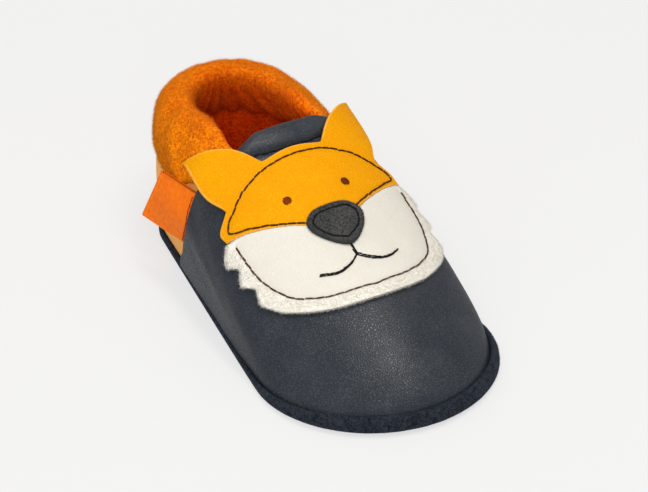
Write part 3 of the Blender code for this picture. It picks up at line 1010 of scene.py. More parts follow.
@dataclass(frozen=True)
class Nap:
    """Short fibres that stand on a grid of points: each a three-sided spike, bent over at random.

    Attributes:
        count: Number of fibres.
        length: Mean length of one.
        thickness: Radius at its root.
        lean: How far it leans from the surface's normal.
        seed: Start of the random draws.
    """

    count: int
    length: float
    thickness: float
    lean: float
    seed: int

    LEAST_RISE = 0.15
    LENGTH_SPREAD = (0.55, 1.45)
    ROOT_SHARE = 0.25
    SPIKE = ((0, 1, 3), (1, 2, 3), (2, 0, 3), (0, 2, 1))

    def grow(self, name: str, points: Array, normals: Array, weight: Array,
             inside_shade: Array | None = None) -> Mesh:
        """Mesh of fibres, spread by area and weight.

        Args:
            name: Name of the mesh.
            points: Grid of points, shape (rows, columns, 3).
            normals: Their normals, of the same shape.
            weight: How thickly the fibres stand, shape (rows, columns).
            inside_shade: How far inside the shoe they stand, which sets their painted shade, shape (rows,
                columns).

        Returns:
            The mesh, with a shade for each fibre and a deep mark for the painted shade inside the shoe.
        """
        draws = np.random.default_rng(self.seed)
        sides = [points[:-1, :-1], points[1:, :-1], points[:-1, 1:], points[1:, 1:]]
        area = np.linalg.norm(np.cross(sides[1] - sides[0], sides[2] - sides[0]), axis=-1)
        chance = (area * (weight[:-1, :-1] + weight[1:, 1:])).ravel()
        chosen = draws.choice(chance.size, self.count, p=chance / chance.sum())
        i, j = np.unravel_index(chosen, area.shape)
        u, v = draws.uniform(size=(2, self.count, 1))

        def between(grid: Array) -> Array:
            """Value inside the chosen quads, straight between their corners."""
            low = grid[i, j] * (1 - v) + grid[i, j + 1] * v
            return low * (1 - u) + (grid[i + 1, j] * (1 - v) + grid[i + 1, j + 1] * v) * u

        root, normal = between(points), unit(between(normals))
        way = unit(normal + self.lean * draws.normal(size=root.shape))
        rise = np.sum(way * normal, axis=-1, keepdims=True)
        way = unit(way + np.maximum(self.LEAST_RISE - rise, 0.0) * normal)
        length = self.length * draws.uniform(*self.LENGTH_SPREAD, size=(self.count, 1))
        first = unit(np.cross(way, draws.normal(size=root.shape)))
        second = np.cross(way, first)
        spread = np.radians((0.0, 120.0, 240.0))[None, :, None]
        foot = (root - self.ROOT_SHARE * length * way)[:, None]
        ring = foot + self.thickness * (np.cos(spread) * first[:, None] + np.sin(spread) * second[:, None])
        tip = (root + length * way)[:, None]
        spikes = np.concatenate([ring, tip], axis=1).reshape(-1, 3)
        faces = (np.arange(self.count)[:, None, None] * 4 + np.array(self.SPIKE)).reshape(-1, 3)
        marks = {"shade": np.repeat(draws.uniform(size=self.count), 4)}
        if inside_shade is not None:
            marks["inside_shade"] = np.repeat(between(inside_shade[..., None])[:, 0], 4)
        return make_mesh(name, spikes, np.zeros((0, 4), np.int64), faces, marks=marks)


@dataclass
class Stitches:
    """Rows of stitches in one thread, gathered into one mesh.

    Attributes:
        name: Name of the piece.
        radius: Half thickness of the thread.
        seed: Start of the random draws.
    """

    name: str
    radius: float = 0.00019
    seed: int = 3
    points: list[Array] = field(default_factory=list)
    quads: list[Numbers] = field(default_factory=list)
    triangles: list[Numbers] = field(default_factory=list)
    maps: list[Array] = field(default_factory=list)
    used: int = 0

    SIDES = 6
    SHARES = (0.0, 0.05, 0.13, 0.35, 0.65, 0.87, 0.95, 1.0)
    RINGS = len(SHARES) - 2
    ARCH_POWER = 0.4
    END_LIFT, ARCH_LIFT = 0.25, 0.40
    END_THICK, ARCH_THICK = 0.75, 0.25
    WHOLE = np.inf

    def sew(self, path: Array, normals: Array, pitch: float, loose: float = 0.00009) -> None:
        """Add a row of stitches: low beads end to end, each highest in its middle.

        Args:
            path: Points of the seam on the surface, shape (n, 3).
            normals: Normals of the surface there, shape (n, 3).
            pitch: Length of a stitch, or WHOLE for a single one along the path.
            loose: How far a stitch strays sideways.
        """
        draws = np.random.default_rng(self.seed + len(self.points))
        run = run_length(path)
        count = max(1, int(round(run[-1] / pitch)))
        step = run[-1] / count
        share = np.array(self.SHARES)
        along = (np.arange(count) * step)[:, None] + share * step
        centre, normal = evenly(path, run, along), unit(evenly(normals, run, along))
        tangent = unit(np.gradient(centre, axis=1))
        side = unit(np.cross(normal, tangent))
        arch = np.sin(np.pi * share) ** self.ARCH_POWER
        stray = draws.normal(scale=loose, size=(count, 2))
        drift = stray[:, :1] + (stray[:, 1:] - stray[:, :1]) * share
        lift = self.radius * (self.ARCH_LIFT * arch + self.END_LIFT)
        centre = centre + lift[:, None] * normal + drift[..., None] * side
        thick = self.radius * (self.END_THICK + self.ARCH_THICK * arch)
        angle = np.linspace(0.0, 2.0 * np.pi, self.SIDES, endpoint=False)[:, None]
        inner = np.s_[:, 1:-1, None]
        rings = centre[inner] + thick[1:-1, None, None] * (
            np.cos(angle) * side[inner] + np.sin(angle) * np.cross(tangent, side)[inner])
        poles = centre[:, [0, -1]]
        size = self.RINGS * self.SIDES + 2
        stitch = np.concatenate([rings.reshape(count, -1, 3), poles], axis=1)
        first = self.used + np.arange(count)[:, None, None] * size
        ring = np.arange(self.SIDES)
        turned = np.roll(ring, -1)
        last = (self.RINGS - 1) * self.SIDES
        caps = np.concatenate([
            np.stack([turned, ring, np.full(self.SIDES, size - 2)], axis=1),
            np.stack([last + ring, last + turned, np.full(self.SIDES, size - 1)], axis=1),
        ])
        self.points.append(stitch.reshape(-1, 3))
        self.quads.append((first + grid_quads(self.RINGS, self.SIDES, close_columns=True)).reshape(-1, 4))
        self.triangles.append((first + caps).reshape(-1, 3))
        lengths = np.repeat(share[1:-1] * step / self.radius, self.SIDES)
        rounds = np.tile(np.arange(self.SIDES) / self.SIDES, self.RINGS) * 2.0 * np.pi
        ends = np.array(((0.0, 0.0), (step / self.radius, 0.0)))
        self.maps.append(np.tile(np.concatenate([np.stack([lengths, rounds], axis=1), ends]), (count, 1)))
        self.used += count * size

    def mesh(self) -> Mesh:
        """All the rows as one mesh."""
        return make_mesh(self.name, np.concatenate(self.points), np.concatenate(self.quads),
                         np.concatenate(self.triangles), uv=np.concatenate(self.maps))


# Pieces of the shoe


def inward_rings(ring: Array, spine_ends: Pair, count: int) -> tuple[Array, Array]:
    """Plan of rings from an edge to the middle line of the sole.

    Args:
        ring: Points of the edge, shape (n, 3).
        spine_ends: The middle line's ends, as y.
        count: Number of rings.

    Returns:
        Plan points, shape (count, n, 2), and each ring's share of the way, shape (count, 1).
    """
    spine = np.stack([np.zeros(len(ring)), np.clip(ring[:, 1], *spine_ends)], axis=-1)
    share = (np.arange(1, count + 1) / count)[:, None, None]
    return ring[None, :, :2] * (1.0 - share) + spine * share, share[..., 0]


@dataclass
class Outsole:
    """Suede sole with a soft rolled edge, high at the toe."""

    last: Last
    stations: int = 360
    inner_rings: int = 12
    widest_share: float = 0.36
    side_share: float = 0.80
    tuck_share: float = 0.95
    side_inset_share: float = 0.35
    roll_angles: Row = (0.0, 35.0, 65.0, 90.0)
    corner_cuts: int = 3
    spine_ends: Pair = (-0.036, 0.044)
    uneven: Uneven = Uneven(0.00012, 0.004, 11)
    uneven_heights: Pair = (0.0, 0.002)
    nap: Nap = Nap(count=16000, length=0.00034, thickness=0.00003, lean=0.7, seed=21)
    nap_heights: Pair = (0.0012, 0.0030)
    low_nap_heights: Pair = (0.0003, 0.0010)
    low_nap: float = 0.15

    def profile(self, station: Array) -> Array:
        """Edge of the sole at each station, as insets and heights, rounded by cutting its corners.

        Args:
            station: Stations.

        Returns:
            Profile points, shape (points, stations, 2), from the flat underside over the lip to the flat top.
        """
        base = self.last.sole_thickness
        lip = np.maximum(self.last.sole_edge("lip", station), base)
        roll = self.last.sole_edge("roll", station)
        shoulder = self.last.sole_edge("shoulder", station)
        widest = lip * self.widest_share
        angles = np.radians(self.roll_angles)
        points = [(roll * (1.0 - np.sin(a)), widest * (1.0 - np.cos(a))) for a in angles]
        points += [
            (shoulder * self.side_inset_share, lip * self.side_share),
            (shoulder, lip),
            (self.last.sole_edge("tuck", station), np.maximum(lip * self.tuck_share, base)),
            (self.last.sole_edge("floor", station), np.full_like(lip, base)),
        ]
        line = np.array(points).transpose(0, 2, 1)
        for _ in range(self.corner_cuts):
            cut = np.stack([0.75 * line[:-1] + 0.25 * line[1:], 0.25 * line[:-1] + 0.75 * line[1:]], axis=1)
            line = np.concatenate([line[:1], cut.reshape(-1, *line.shape[1:]), line[-1:]])
        return line

    def build(self, suede: Suede, fuzz: Suede) -> None:
        """Sole and the fibres along its lip.

        Args:
            suede: Finish of the sole.
            fuzz: Finish of the fibres.
        """
        station = stations_around(self.stations)
        line = self.profile(station)
        plan = self.last.plan(station[None], line[..., 0])
        edge = np.concatenate([plan, line[..., 1:]], axis=-1)
        edge[..., :2] += (self.uneven.at(edge) * ease(*self.uneven_heights, edge[..., 2]))[..., None]
        points = np.concatenate([self.inwards(edge[0])[::-1], edge, self.inwards(edge[-1])])
        mesh = make_mesh("outsole", points.reshape(-1, 3), grid_quads(*points.shape[:2], close_columns=True))
        normals = point_normals(mesh).reshape(points.shape)
        add_piece(weld(mesh), suede.material(), (Slot.OUTSOLE,))
        height = points[..., 2]
        weight = ease(*self.nap_heights, height) + self.low_nap * ease(*self.low_nap_heights, height)
        weight[: self.inner_rings] = 0.0
        weight[-self.inner_rings:] = 0.0
        add_piece(self.nap.grow("outsole_nap", points, normals, weight), fuzz.material())

    def inwards(self, ring: Array) -> Array:
        """Rings from an edge to the middle line of the sole, at the edge's height."""
        plan = inward_rings(ring, self.spine_ends, self.inner_rings)[0]
        return np.concatenate([plan, np.broadcast_to(ring[None, :, 2:], (*plan.shape[:2], 1))], axis=-1)


@dataclass
class Insole:
    """Padded suede floor inside the shoe: a crowned pad with rounded edges."""

    last: Last
    wall: float = 0.0016
    thickness: float = 0.0020
    crown: float = 0.0004
    stations: int = 240
    rings: int = 16
    spine_ends: Pair = (-0.030, 0.040)
    edge_points: int = 13
    edge_share: float = 0.6
    crown_shares: Pair = (0.0, 0.5)
    uneven: Uneven = Uneven(0.00012, 0.02, 5)

    def build(self, suede: Suede) -> None:
        """Pad from its underside round its edge to its crowned top.

        Args:
            suede: Its finish.
        """
        station = stations_around(self.stations)
        inset = self.last.section("inset", station) + self.wall + 2 * self.last.gap
        base = self.last.sole_thickness + self.last.gap
        radius = self.thickness / 2
        angles = np.radians(np.linspace(-90.0, 90.0, self.edge_points))[:, None]
        plan = self.last.plan(station[None], inset + self.edge_share * radius * (1.0 - np.cos(angles)))
        height = np.broadcast_to(base + radius * (1.0 + np.sin(angles)), plan.shape[:2])
        edge = np.concatenate([plan, height[..., None]], axis=-1)
        flat, share = inward_rings(edge[0], self.spine_ends, self.rings)
        under = np.broadcast_to(edge[0, :, 2], flat.shape[:2])
        over = edge[-1, :, 2] + self.crown * ease(*self.crown_shares, share)
        over = over + self.uneven.at(np.concatenate([flat, flat[..., :1]], axis=-1))
        under, over = (np.concatenate([flat, rise[..., None]], axis=-1) for rise in (under, over))
        points = np.concatenate([under[::-1], edge, over])
        mesh = make_mesh("insole", points.reshape(-1, 3), grid_quads(*points.shape[:2], close_columns=True))
        pad = add_piece(weld(mesh), suede.material(), (Slot.INSOLE,))


@dataclass
class Upper:
    """Heel quarter of smooth leather, and the suede cuff that rolls over the rim and lines the inside."""

    last: Last
    wall: float = 0.0016
    cuff_step: float = 0.0010
    cuff_bulge: float = 0.0006
    cuff_padding: float = 0.0032
    padding_rows: Pair = (0.66, 0.95)
    padding_fade: Pair = (0.09, 0.24)
    cuff_fade: Pair = (0.170, 0.215)
    cuff_edge_rows: float = 0.026
    hem_covers: float = 0.07
    hem_fade: Pair = (0.105, 0.165)
    layer: float = 0.0008
    # Painted shade inside the shoe: the rows and shares over which the suede is darkened and reddened down
    # the lining and over the rim's roll.
    inside_shade_rows: Pair = (0.55, 1.0)
    rim_inside_shade: Pair = (0.20, 0.85)
    rim_inside_shade_rows: Pair = (0.86, 1.0)
    casing_row: float = 0.69
    casing_leave: float = 0.60
    casing_arrive: float = 0.90
    gathers: int = 30
    gather_depth: float = 0.00042
    gather_drift: float = 0.45
    gather_drifts: float = 4.0
    gather_start: Pair = (0.15, 0.45)
    gather_end: Pair = (0.80, 0.99)
    form_rows: Pair = (0.02, 0.20)
    form_fade: Pair = (0.17, 0.25)
    uneven: Uneven = Uneven(0.00022, 0.013, 2)
    quarter_lap: float = 0.02
    quarter_rows: int = 40
    layer_gap: float = 0.00005
    casing_dip: Row = (0.0, 0.0, -0.5)
    edge_rings: int = 8
    band_rings: int = 22
    lining_rings: int = 44
    backing_rings: int = 16
    roll_steps: int = 15
    band_nap: Nap = Nap(count=46000, length=0.00075, thickness=0.000036, lean=0.9, seed=31)
    pile_nap: Nap = Nap(count=44000, length=0.00075, thickness=0.000036, lean=0.9, seed=32)
    pile_least: float = 0.35
    pile_heights: Pair = (0.012, 0.030)
    stations: int = 360
    creases: tuple[Crease, ...] = (
        Crease(0.300, 0.84, 0.045, 0.011, 78.0, -0.00045),
        Crease(0.345, 0.80, 0.040, 0.014, 96.0, 0.00040),
        Crease(0.265, 0.80, 0.050, 0.012, 64.0, 0.00035),
        Crease(0.420, 0.82, 0.045, 0.012, 82.0, -0.00040),
        Crease(0.485, 0.85, 0.040, 0.013, 100.0, 0.00035),
        Crease(-0.290, 0.83, 0.045, 0.012, 104.0, -0.00045),
        Crease(-0.350, 0.80, 0.040, 0.013, 80.0, 0.00040),
        Crease(-0.430, 0.83, 0.045, 0.012, 97.0, -0.00040),
        Crease(0.330, 0.40, 0.050, 0.016, 70.0, -0.00035),
        Crease(0.400, 0.45, 0.055, 0.018, 100.0, 0.00035),
        Crease(-0.340, 0.42, 0.050, 0.016, 108.0, -0.00035),
        Crease(-0.460, 0.40, 0.055, 0.018, 84.0, -0.00030),
    )

    def forms(self, station: Array, row: Array) -> Array:
        """Creases and an uneven softness, faded out towards the sole and where the vamp lies over it."""
        height = np.sum([c.form(station, row) for c in self.creases], axis=0)
        height = height + self.uneven.at(self.last.skin(station, row))
        return height * ease(*self.form_rows, row) * ease(*self.form_fade, np.abs(station))

    def folds(self, station: Array, row: Array) -> Array:
        """Soft upright gathers of the lining: waves of uneven width that fade to the rim and the floor."""
        drift = self.gather_drift * np.sin(2.0 * np.pi * self.gather_drifts * station)
        wave = np.sin(2.0 * np.pi * (self.gathers * station + drift))
        return self.gather_depth * wave * ease(*self.gather_start, row) * (1.0 - ease(*self.gather_end, row))

    def rim_row(self, station: Array, row: Array) -> Array:
        """Row of the skin, drawn in at the throat so that the vamp's hem stands above the rim."""
        hidden = 1.0 - ease(*self.hem_fade, self.last.along_hem(station))
        cuff = self.last.cuff_row
        stretch = 1.0 - hidden * self.hem_covers / (1.0 - cuff)
        return np.where(row > cuff, cuff + (row - cuff) * stretch, row)

    def offsets(self, station: Array, row: Array) -> tuple[Array, Array]:
        """Heights of the cuff's outside and of the lining over the skin.

        Args:
            station: Stations.
            row: Rows.

        Returns:
            Outer and inner offset: a rounded step at the cuff's lower edge, and a swell from it to the rim.
        """
        reach = ease(*self.cuff_fade, np.abs(station))
        share = np.clip((row - self.last.cuff_row) / self.cuff_edge_rows, 0.0, 1.0)
        step = np.sqrt(np.clip(1.0 - (1.0 - share) ** 2, 0.0, 1.0))
        swell = np.sin(np.pi * np.clip((row - self.last.cuff_row) / (1.0 - self.last.cuff_row), 0.0, 1.0))
        outer = reach * (self.cuff_step * step + self.cuff_bulge * swell)
        padded = ease(*self.padding_fade, np.abs(station)) * ease(*self.padding_rows, row)
        return outer, -self.wall - self.cuff_padding * padded

    def build_quarter(self, leather: Leather) -> None:
        """Smooth leather wall below the cuff, reaching a little under it.

        Args:
            leather: Its finish.
        """
        levels = np.linspace(0.0, self.last.cuff_row + self.quarter_lap, self.quarter_rows)
        rows, station = np.meshgrid(levels, stations_around(self.stations), indexing="ij")
        forms = self.forms(station, rows)
        outer = self.last.lifted(station, rows, forms)
        inner = self.last.lifted(station, rows, forms - self.layer + self.layer_gap)
        points = np.concatenate([outer, inner[::-1]])
        quads = grid_quads(*points.shape[:2], close_rows=True, close_columns=True)
        mesh = make_mesh("quarter", points.reshape(-1, 3), quads)
        add_piece(mesh, leather.material(), (Slot.UPPER,))

    def casing(self, chain: Array, station: Array, leave: Array) -> Array:
        """Casing of the elastic inside the rim: rings redrawn as one soft curve that hangs from the roll.

        The curve leaves the roll straight on and turns out into the wall. Near the throat the rings stay.

        Args:
            chain: Rings from the inmost line of the roll down to the casing's lower edge, shape
                (rings, stations, 3).
            station: Stations.
            leave: Direction in which the curve leaves the roll, shape (stations, 3).

        Returns:
            The rings, of the same shape.
        """
        size = np.linalg.norm(chain[-1] - chain[0], axis=-1, keepdims=True)
        outwards = self.last.facing(station, np.full_like(station, self.casing_row))[0]
        leave = self.casing_leave * size * leave
        arrive = self.casing_arrive * size * unit(outwards + self.casing_dip)
        u = np.linspace(0.0, 1.0, len(chain))[:, None, None]
        curve = hermite(chain[0], chain[-1], leave, arrive, u)
        row = 1.0 - (1.0 - self.casing_row) * u[..., 0]
        curve = curve + self.folds(station[None], row)[..., None] * outwards
        return chain + ease(*self.padding_fade, np.abs(station))[:, None] * (curve - chain)

    def build_cuff(self, suede: Suede, fuzz: Suede, pile_fuzz: Suede) -> None:
        """Suede band, its roll over the rim, and the lining down to the insole.

        Args:
            suede: Finish of the band and the lining.
            fuzz: Finish of the fibres on the band.
            pile_fuzz: Finish of the fibres on the lining.
        """
        ring = stations_around(self.stations)
        edge = self.last.cuff_row
        outside = np.concatenate([edge + self.cuff_edge_rows * np.linspace(0.0, 1.0, self.edge_rings) ** 2,
                                  np.linspace(edge + self.cuff_edge_rows, 1.0, self.band_rings)[1:]])
        inside = np.linspace(1.0, 0.0, self.lining_rings)
        behind = np.linspace(0.0, edge, self.backing_rings)

        def wall(levels: Array, which: int) -> Array:
            """Rings of one face of the cuff."""
            station = np.broadcast_to(ring, (len(levels), len(ring)))
            row = self.rim_row(station, np.broadcast_to(levels[:, None], station.shape))
            offset = self.offsets(station, row)[which] + self.forms(station, row)
            return self.last.lifted(station, row, offset + which * self.folds(station, row))

        top = self.rim_row(ring, np.ones_like(ring))
        high, low = self.offsets(ring, top)
        forms = self.forms(ring, top)
        normal, up = self.last.facing(ring, top)
        centre = self.last.lifted(ring, top, (high + low) / 2 + forms)
        angles = np.radians(np.linspace(0.0, 180.0, self.roll_steps)[1:-1])[:, None, None]
        roll = centre + ((high - low) / 2)[:, None] * (np.cos(angles) * normal + np.sin(angles) * up)
        row, station = np.meshgrid(behind, ring, indexing="ij")
        back = self.last.lifted(station, row, self.forms(station, row) - self.layer)
        lining = wall(inside, 1)
        half, hung = len(roll) // 2, int(np.sum(inside >= self.casing_row))
        chain = self.casing(np.concatenate([roll[half:], lining[:hung]]), ring, -normal)
        roll[half:], lining[:hung] = chain[:-hung], chain[-hung:]
        points = np.concatenate([wall(outside, 0), roll, lining, back])
        quads = grid_quads(*points.shape[:2], close_rows=True, close_columns=True)
        rim = len(outside) + len(roll)
        # Painted shade: this mark darkens and reddens the suede a little at the top of the band, more over
        # the roll and most down the lining, where the inside lies in shade.
        inside_shade = np.zeros(points.shape[:2])
        inside_shade[:len(outside)] = self.rim_inside_shade[0] * ease(*self.rim_inside_shade_rows, outside)[:, None]
        inside_shade[len(outside):rim] = np.linspace(*self.rim_inside_shade, len(roll))[:, None]
        inside_shade[rim:rim + len(inside)] = 1.0 - (1.0 - self.rim_inside_shade[1]) * ease(*self.inside_shade_rows, inside)[:, None]
        mesh = make_mesh("cuff", points.reshape(-1, 3), quads, marks={"inside_shade": inside_shade})
        normals = point_normals(mesh).reshape(points.shape)
        add_piece(mesh, suede.material(), (Slot.UPPER,))

        clear = np.broadcast_to(ease(*self.cuff_fade, np.abs(ring)), points.shape[:2])
        grids = [closed(grid) for grid in (points, normals, clear, inside_shade)]
        band = self.band_nap.grow("cuff_nap", *(grid[:rim + 1] for grid in grids))
        add_piece(band, fuzz.material())
        # The last grid carries the painted shade of the inside on to the lining's fibres.
        roots, away, _, depth = (grid[rim:rim + len(inside)] for grid in grids)
        weight = self.pile_least + (1.0 - self.pile_least) * ease(*self.pile_heights, roots[..., 2])
        pile = self.pile_nap.grow("lining_nap", roots, away, weight, depth)
        add_piece(pile, pile_fuzz.material())


@dataclass
class Vamp:
    """Leather over the forefoot, sewn to the sole and the quarter, with a puffed hem along the throat."""

    last: Last
    thickness: float = 0.0012
    hem_row: float = 0.90
    hem_puff: float = 0.0012
    hem_drop: float = 0.14
    hem_drop_fade: Pair = (0.066, 0.148)
    hem_drop_rows: Pair = (0.75, 1.0)
    columns: int = 200
    column_power: float = 1.25
    level_runs: tuple[Span, ...] = ((0.0, 0.70, 50), (0.70, 0.88, 14), (0.88, 0.985, 26))
    top_levels: int = 9
    pucker: Uneven = Uneven(0.10, 0.005, 9)
    uneven: Uneven = Uneven(0.00010, 0.012, 4)
    puff_end: float = 0.94
    seam_depth: float = 0.00050
    seam_width: float = 0.010
    crease_rows: Pair = (0.0, 0.05)
    run_step: float = 0.004
    rim_radius: float = 0.0010
    side_radius: float = 0.0009
    side_least: float = 0.25
    side_sink: float = 0.0002
    stitch_span: Span = (-0.95, 0.95, 120)
    stitch_sink: float = 0.00040
    stitch_pitch: float = 0.0024
    edge: Table = (
        (0.00, 0.364, 0.385),
        (0.20, 0.346, 0.352),
        (0.57, 0.251, 0.256),
        (0.66, 0.196, 0.198),
        (0.80, 0.147, 0.163),
        (0.91, 0.136, 0.147),
        (1.00, 0.128, 0.128),
    )
    creases: tuple[Crease, ...] = (
        Crease(0.270, 0.30, 0.060, 0.020, 58.0, -0.00018),
        Crease(0.225, 0.36, 0.065, 0.022, 66.0, 0.00016),
        Crease(-0.262, 0.30, 0.060, 0.020, 122.0, -0.00018),
        Crease(-0.218, 0.36, 0.065, 0.022, 112.0, 0.00016),
        Crease(0.020, 0.075, 0.110, 0.009, 0.0, 0.00030),
        Crease(-0.060, 0.115, 0.060, 0.009, 8.0, -0.00020),
        Crease(0.075, 0.120, 0.055, 0.010, -10.0, -0.00016),
    )

    def spot(self, share: Array, level: Array) -> tuple[Array, Array]:
        """Station and row of the skin at a share of the way to the rear edge and a level of the vamp.

        Args:
            share: From -1 at the inner edge to 1 at the outer edge.
            level: From 0 at the sole to 1 at the top of the hem, which runs down on to the cuff at its ends.

        Returns:
            Stations and rows.
        """
        level, share = np.broadcast_arrays(level, share)
        table = np.array(self.edge)
        outer, inner = (through_rows(level, table[:, 0], table[:, k]) for k in (1, 2))
        station = share * np.where(share > 0.0, outer, inner)
        drop = self.hem_drop * ease(*self.hem_drop_fade, self.last.along_hem(station))
        return station, level - drop * ease(*self.hem_drop_rows, level)

    def build(self, leather: Leather, black: Stitches) -> None:
        """Vamp as a sheet with rolled edges, and the stitches under its hem.

        Args:
            leather: Finish of the vamp.
            black: Stitches in black thread.
        """
        runs = [np.linspace(*run)[1:] for run in self.level_runs]
        last_run = (1.0 - runs[-1][-1]) * np.linspace(1.0, 0.0, self.top_levels)[1:] ** 2
        rows = np.concatenate([[0.0], *runs, 1.0 - last_run])
        columns = np.linspace(-1.0, 1.0, self.columns + 1)
        columns = np.sign(columns) * (1.0 - (1.0 - np.abs(columns)) ** self.column_power)
        level = np.broadcast_to(rows[:, None], (len(rows), len(columns)))
        station, row = self.spot(columns[None], level)
        hem = np.clip((level - self.hem_row) / (1.0 - self.hem_row), 0.0, 1.0)
        skin = self.last.skin(station, row)
        round_hem = np.sqrt(np.sin(np.pi * np.clip(hem, 0.0, self.puff_end)))
        puff = self.hem_puff * (1.0 + self.pucker.at(skin)) * round_hem
        seam = -self.seam_depth * np.exp(-(((level - self.hem_row) / self.seam_width) ** 2))
        forms = np.sum([c.form(station, row) for c in self.creases], axis=0) * ease(*self.crease_rows, row)
        full = self.thickness + puff + seam + forms + self.uneven.at(skin)

        below = self.last.skin(station, row - self.run_step)
        run = np.linalg.norm(skin - below, axis=-1) / self.run_step
        to_rim = np.clip((1.0 - level) * run / self.rim_radius, 0.0, 1.0)
        across = np.linalg.norm(np.gradient(skin, axis=1), axis=-1)
        steps = np.minimum(np.arange(len(columns)), np.arange(len(columns))[::-1])
        to_side = np.clip(steps * across / self.side_radius, 0.0, 1.0)
        rim_round = np.sqrt(1.0 - (1.0 - to_rim) ** 2)
        side_round = self.side_least + (1.0 - self.side_least) * np.sqrt(1.0 - (1.0 - to_side) ** 2)
        gap, half = self.last.gap, full / 2
        outer = self.last.lifted(station, row, (gap + half + half * rim_round) * side_round)
        sunk = (1.0 - side_round) * self.side_sink
        inner = self.last.lifted(station, row, gap + half - half * rim_round - sunk)
        shape = outer.shape[:2]
        number = np.arange(outer.size // 3).reshape(shape)
        border = np.concatenate([number[0, :-1], number[:-1, -1], number[-1, :0:-1], number[:0:-1, 0]])
        turned = np.roll(border, -1)
        wall = np.stack([border, turned, turned + number.size, border + number.size], axis=1)
        sheet = grid_quads(*shape)
        quads = np.concatenate([sheet[:, ::-1], sheet + number.size, wall])
        mesh = make_mesh("vamp", np.concatenate([outer.reshape(-1, 3), inner.reshape(-1, 3)]), quads)
        add_piece(mesh, leather.material(), (Slot.VAMP,))

        station, row = self.spot(np.linspace(*self.stitch_span), self.hem_row)
        height = np.full_like(station, gap + self.thickness - self.stitch_sink)
        normals = self.last.facing(station, row)[0]
        black.sew(self.last.lifted(station, row, height), normals, self.stitch_pitch)


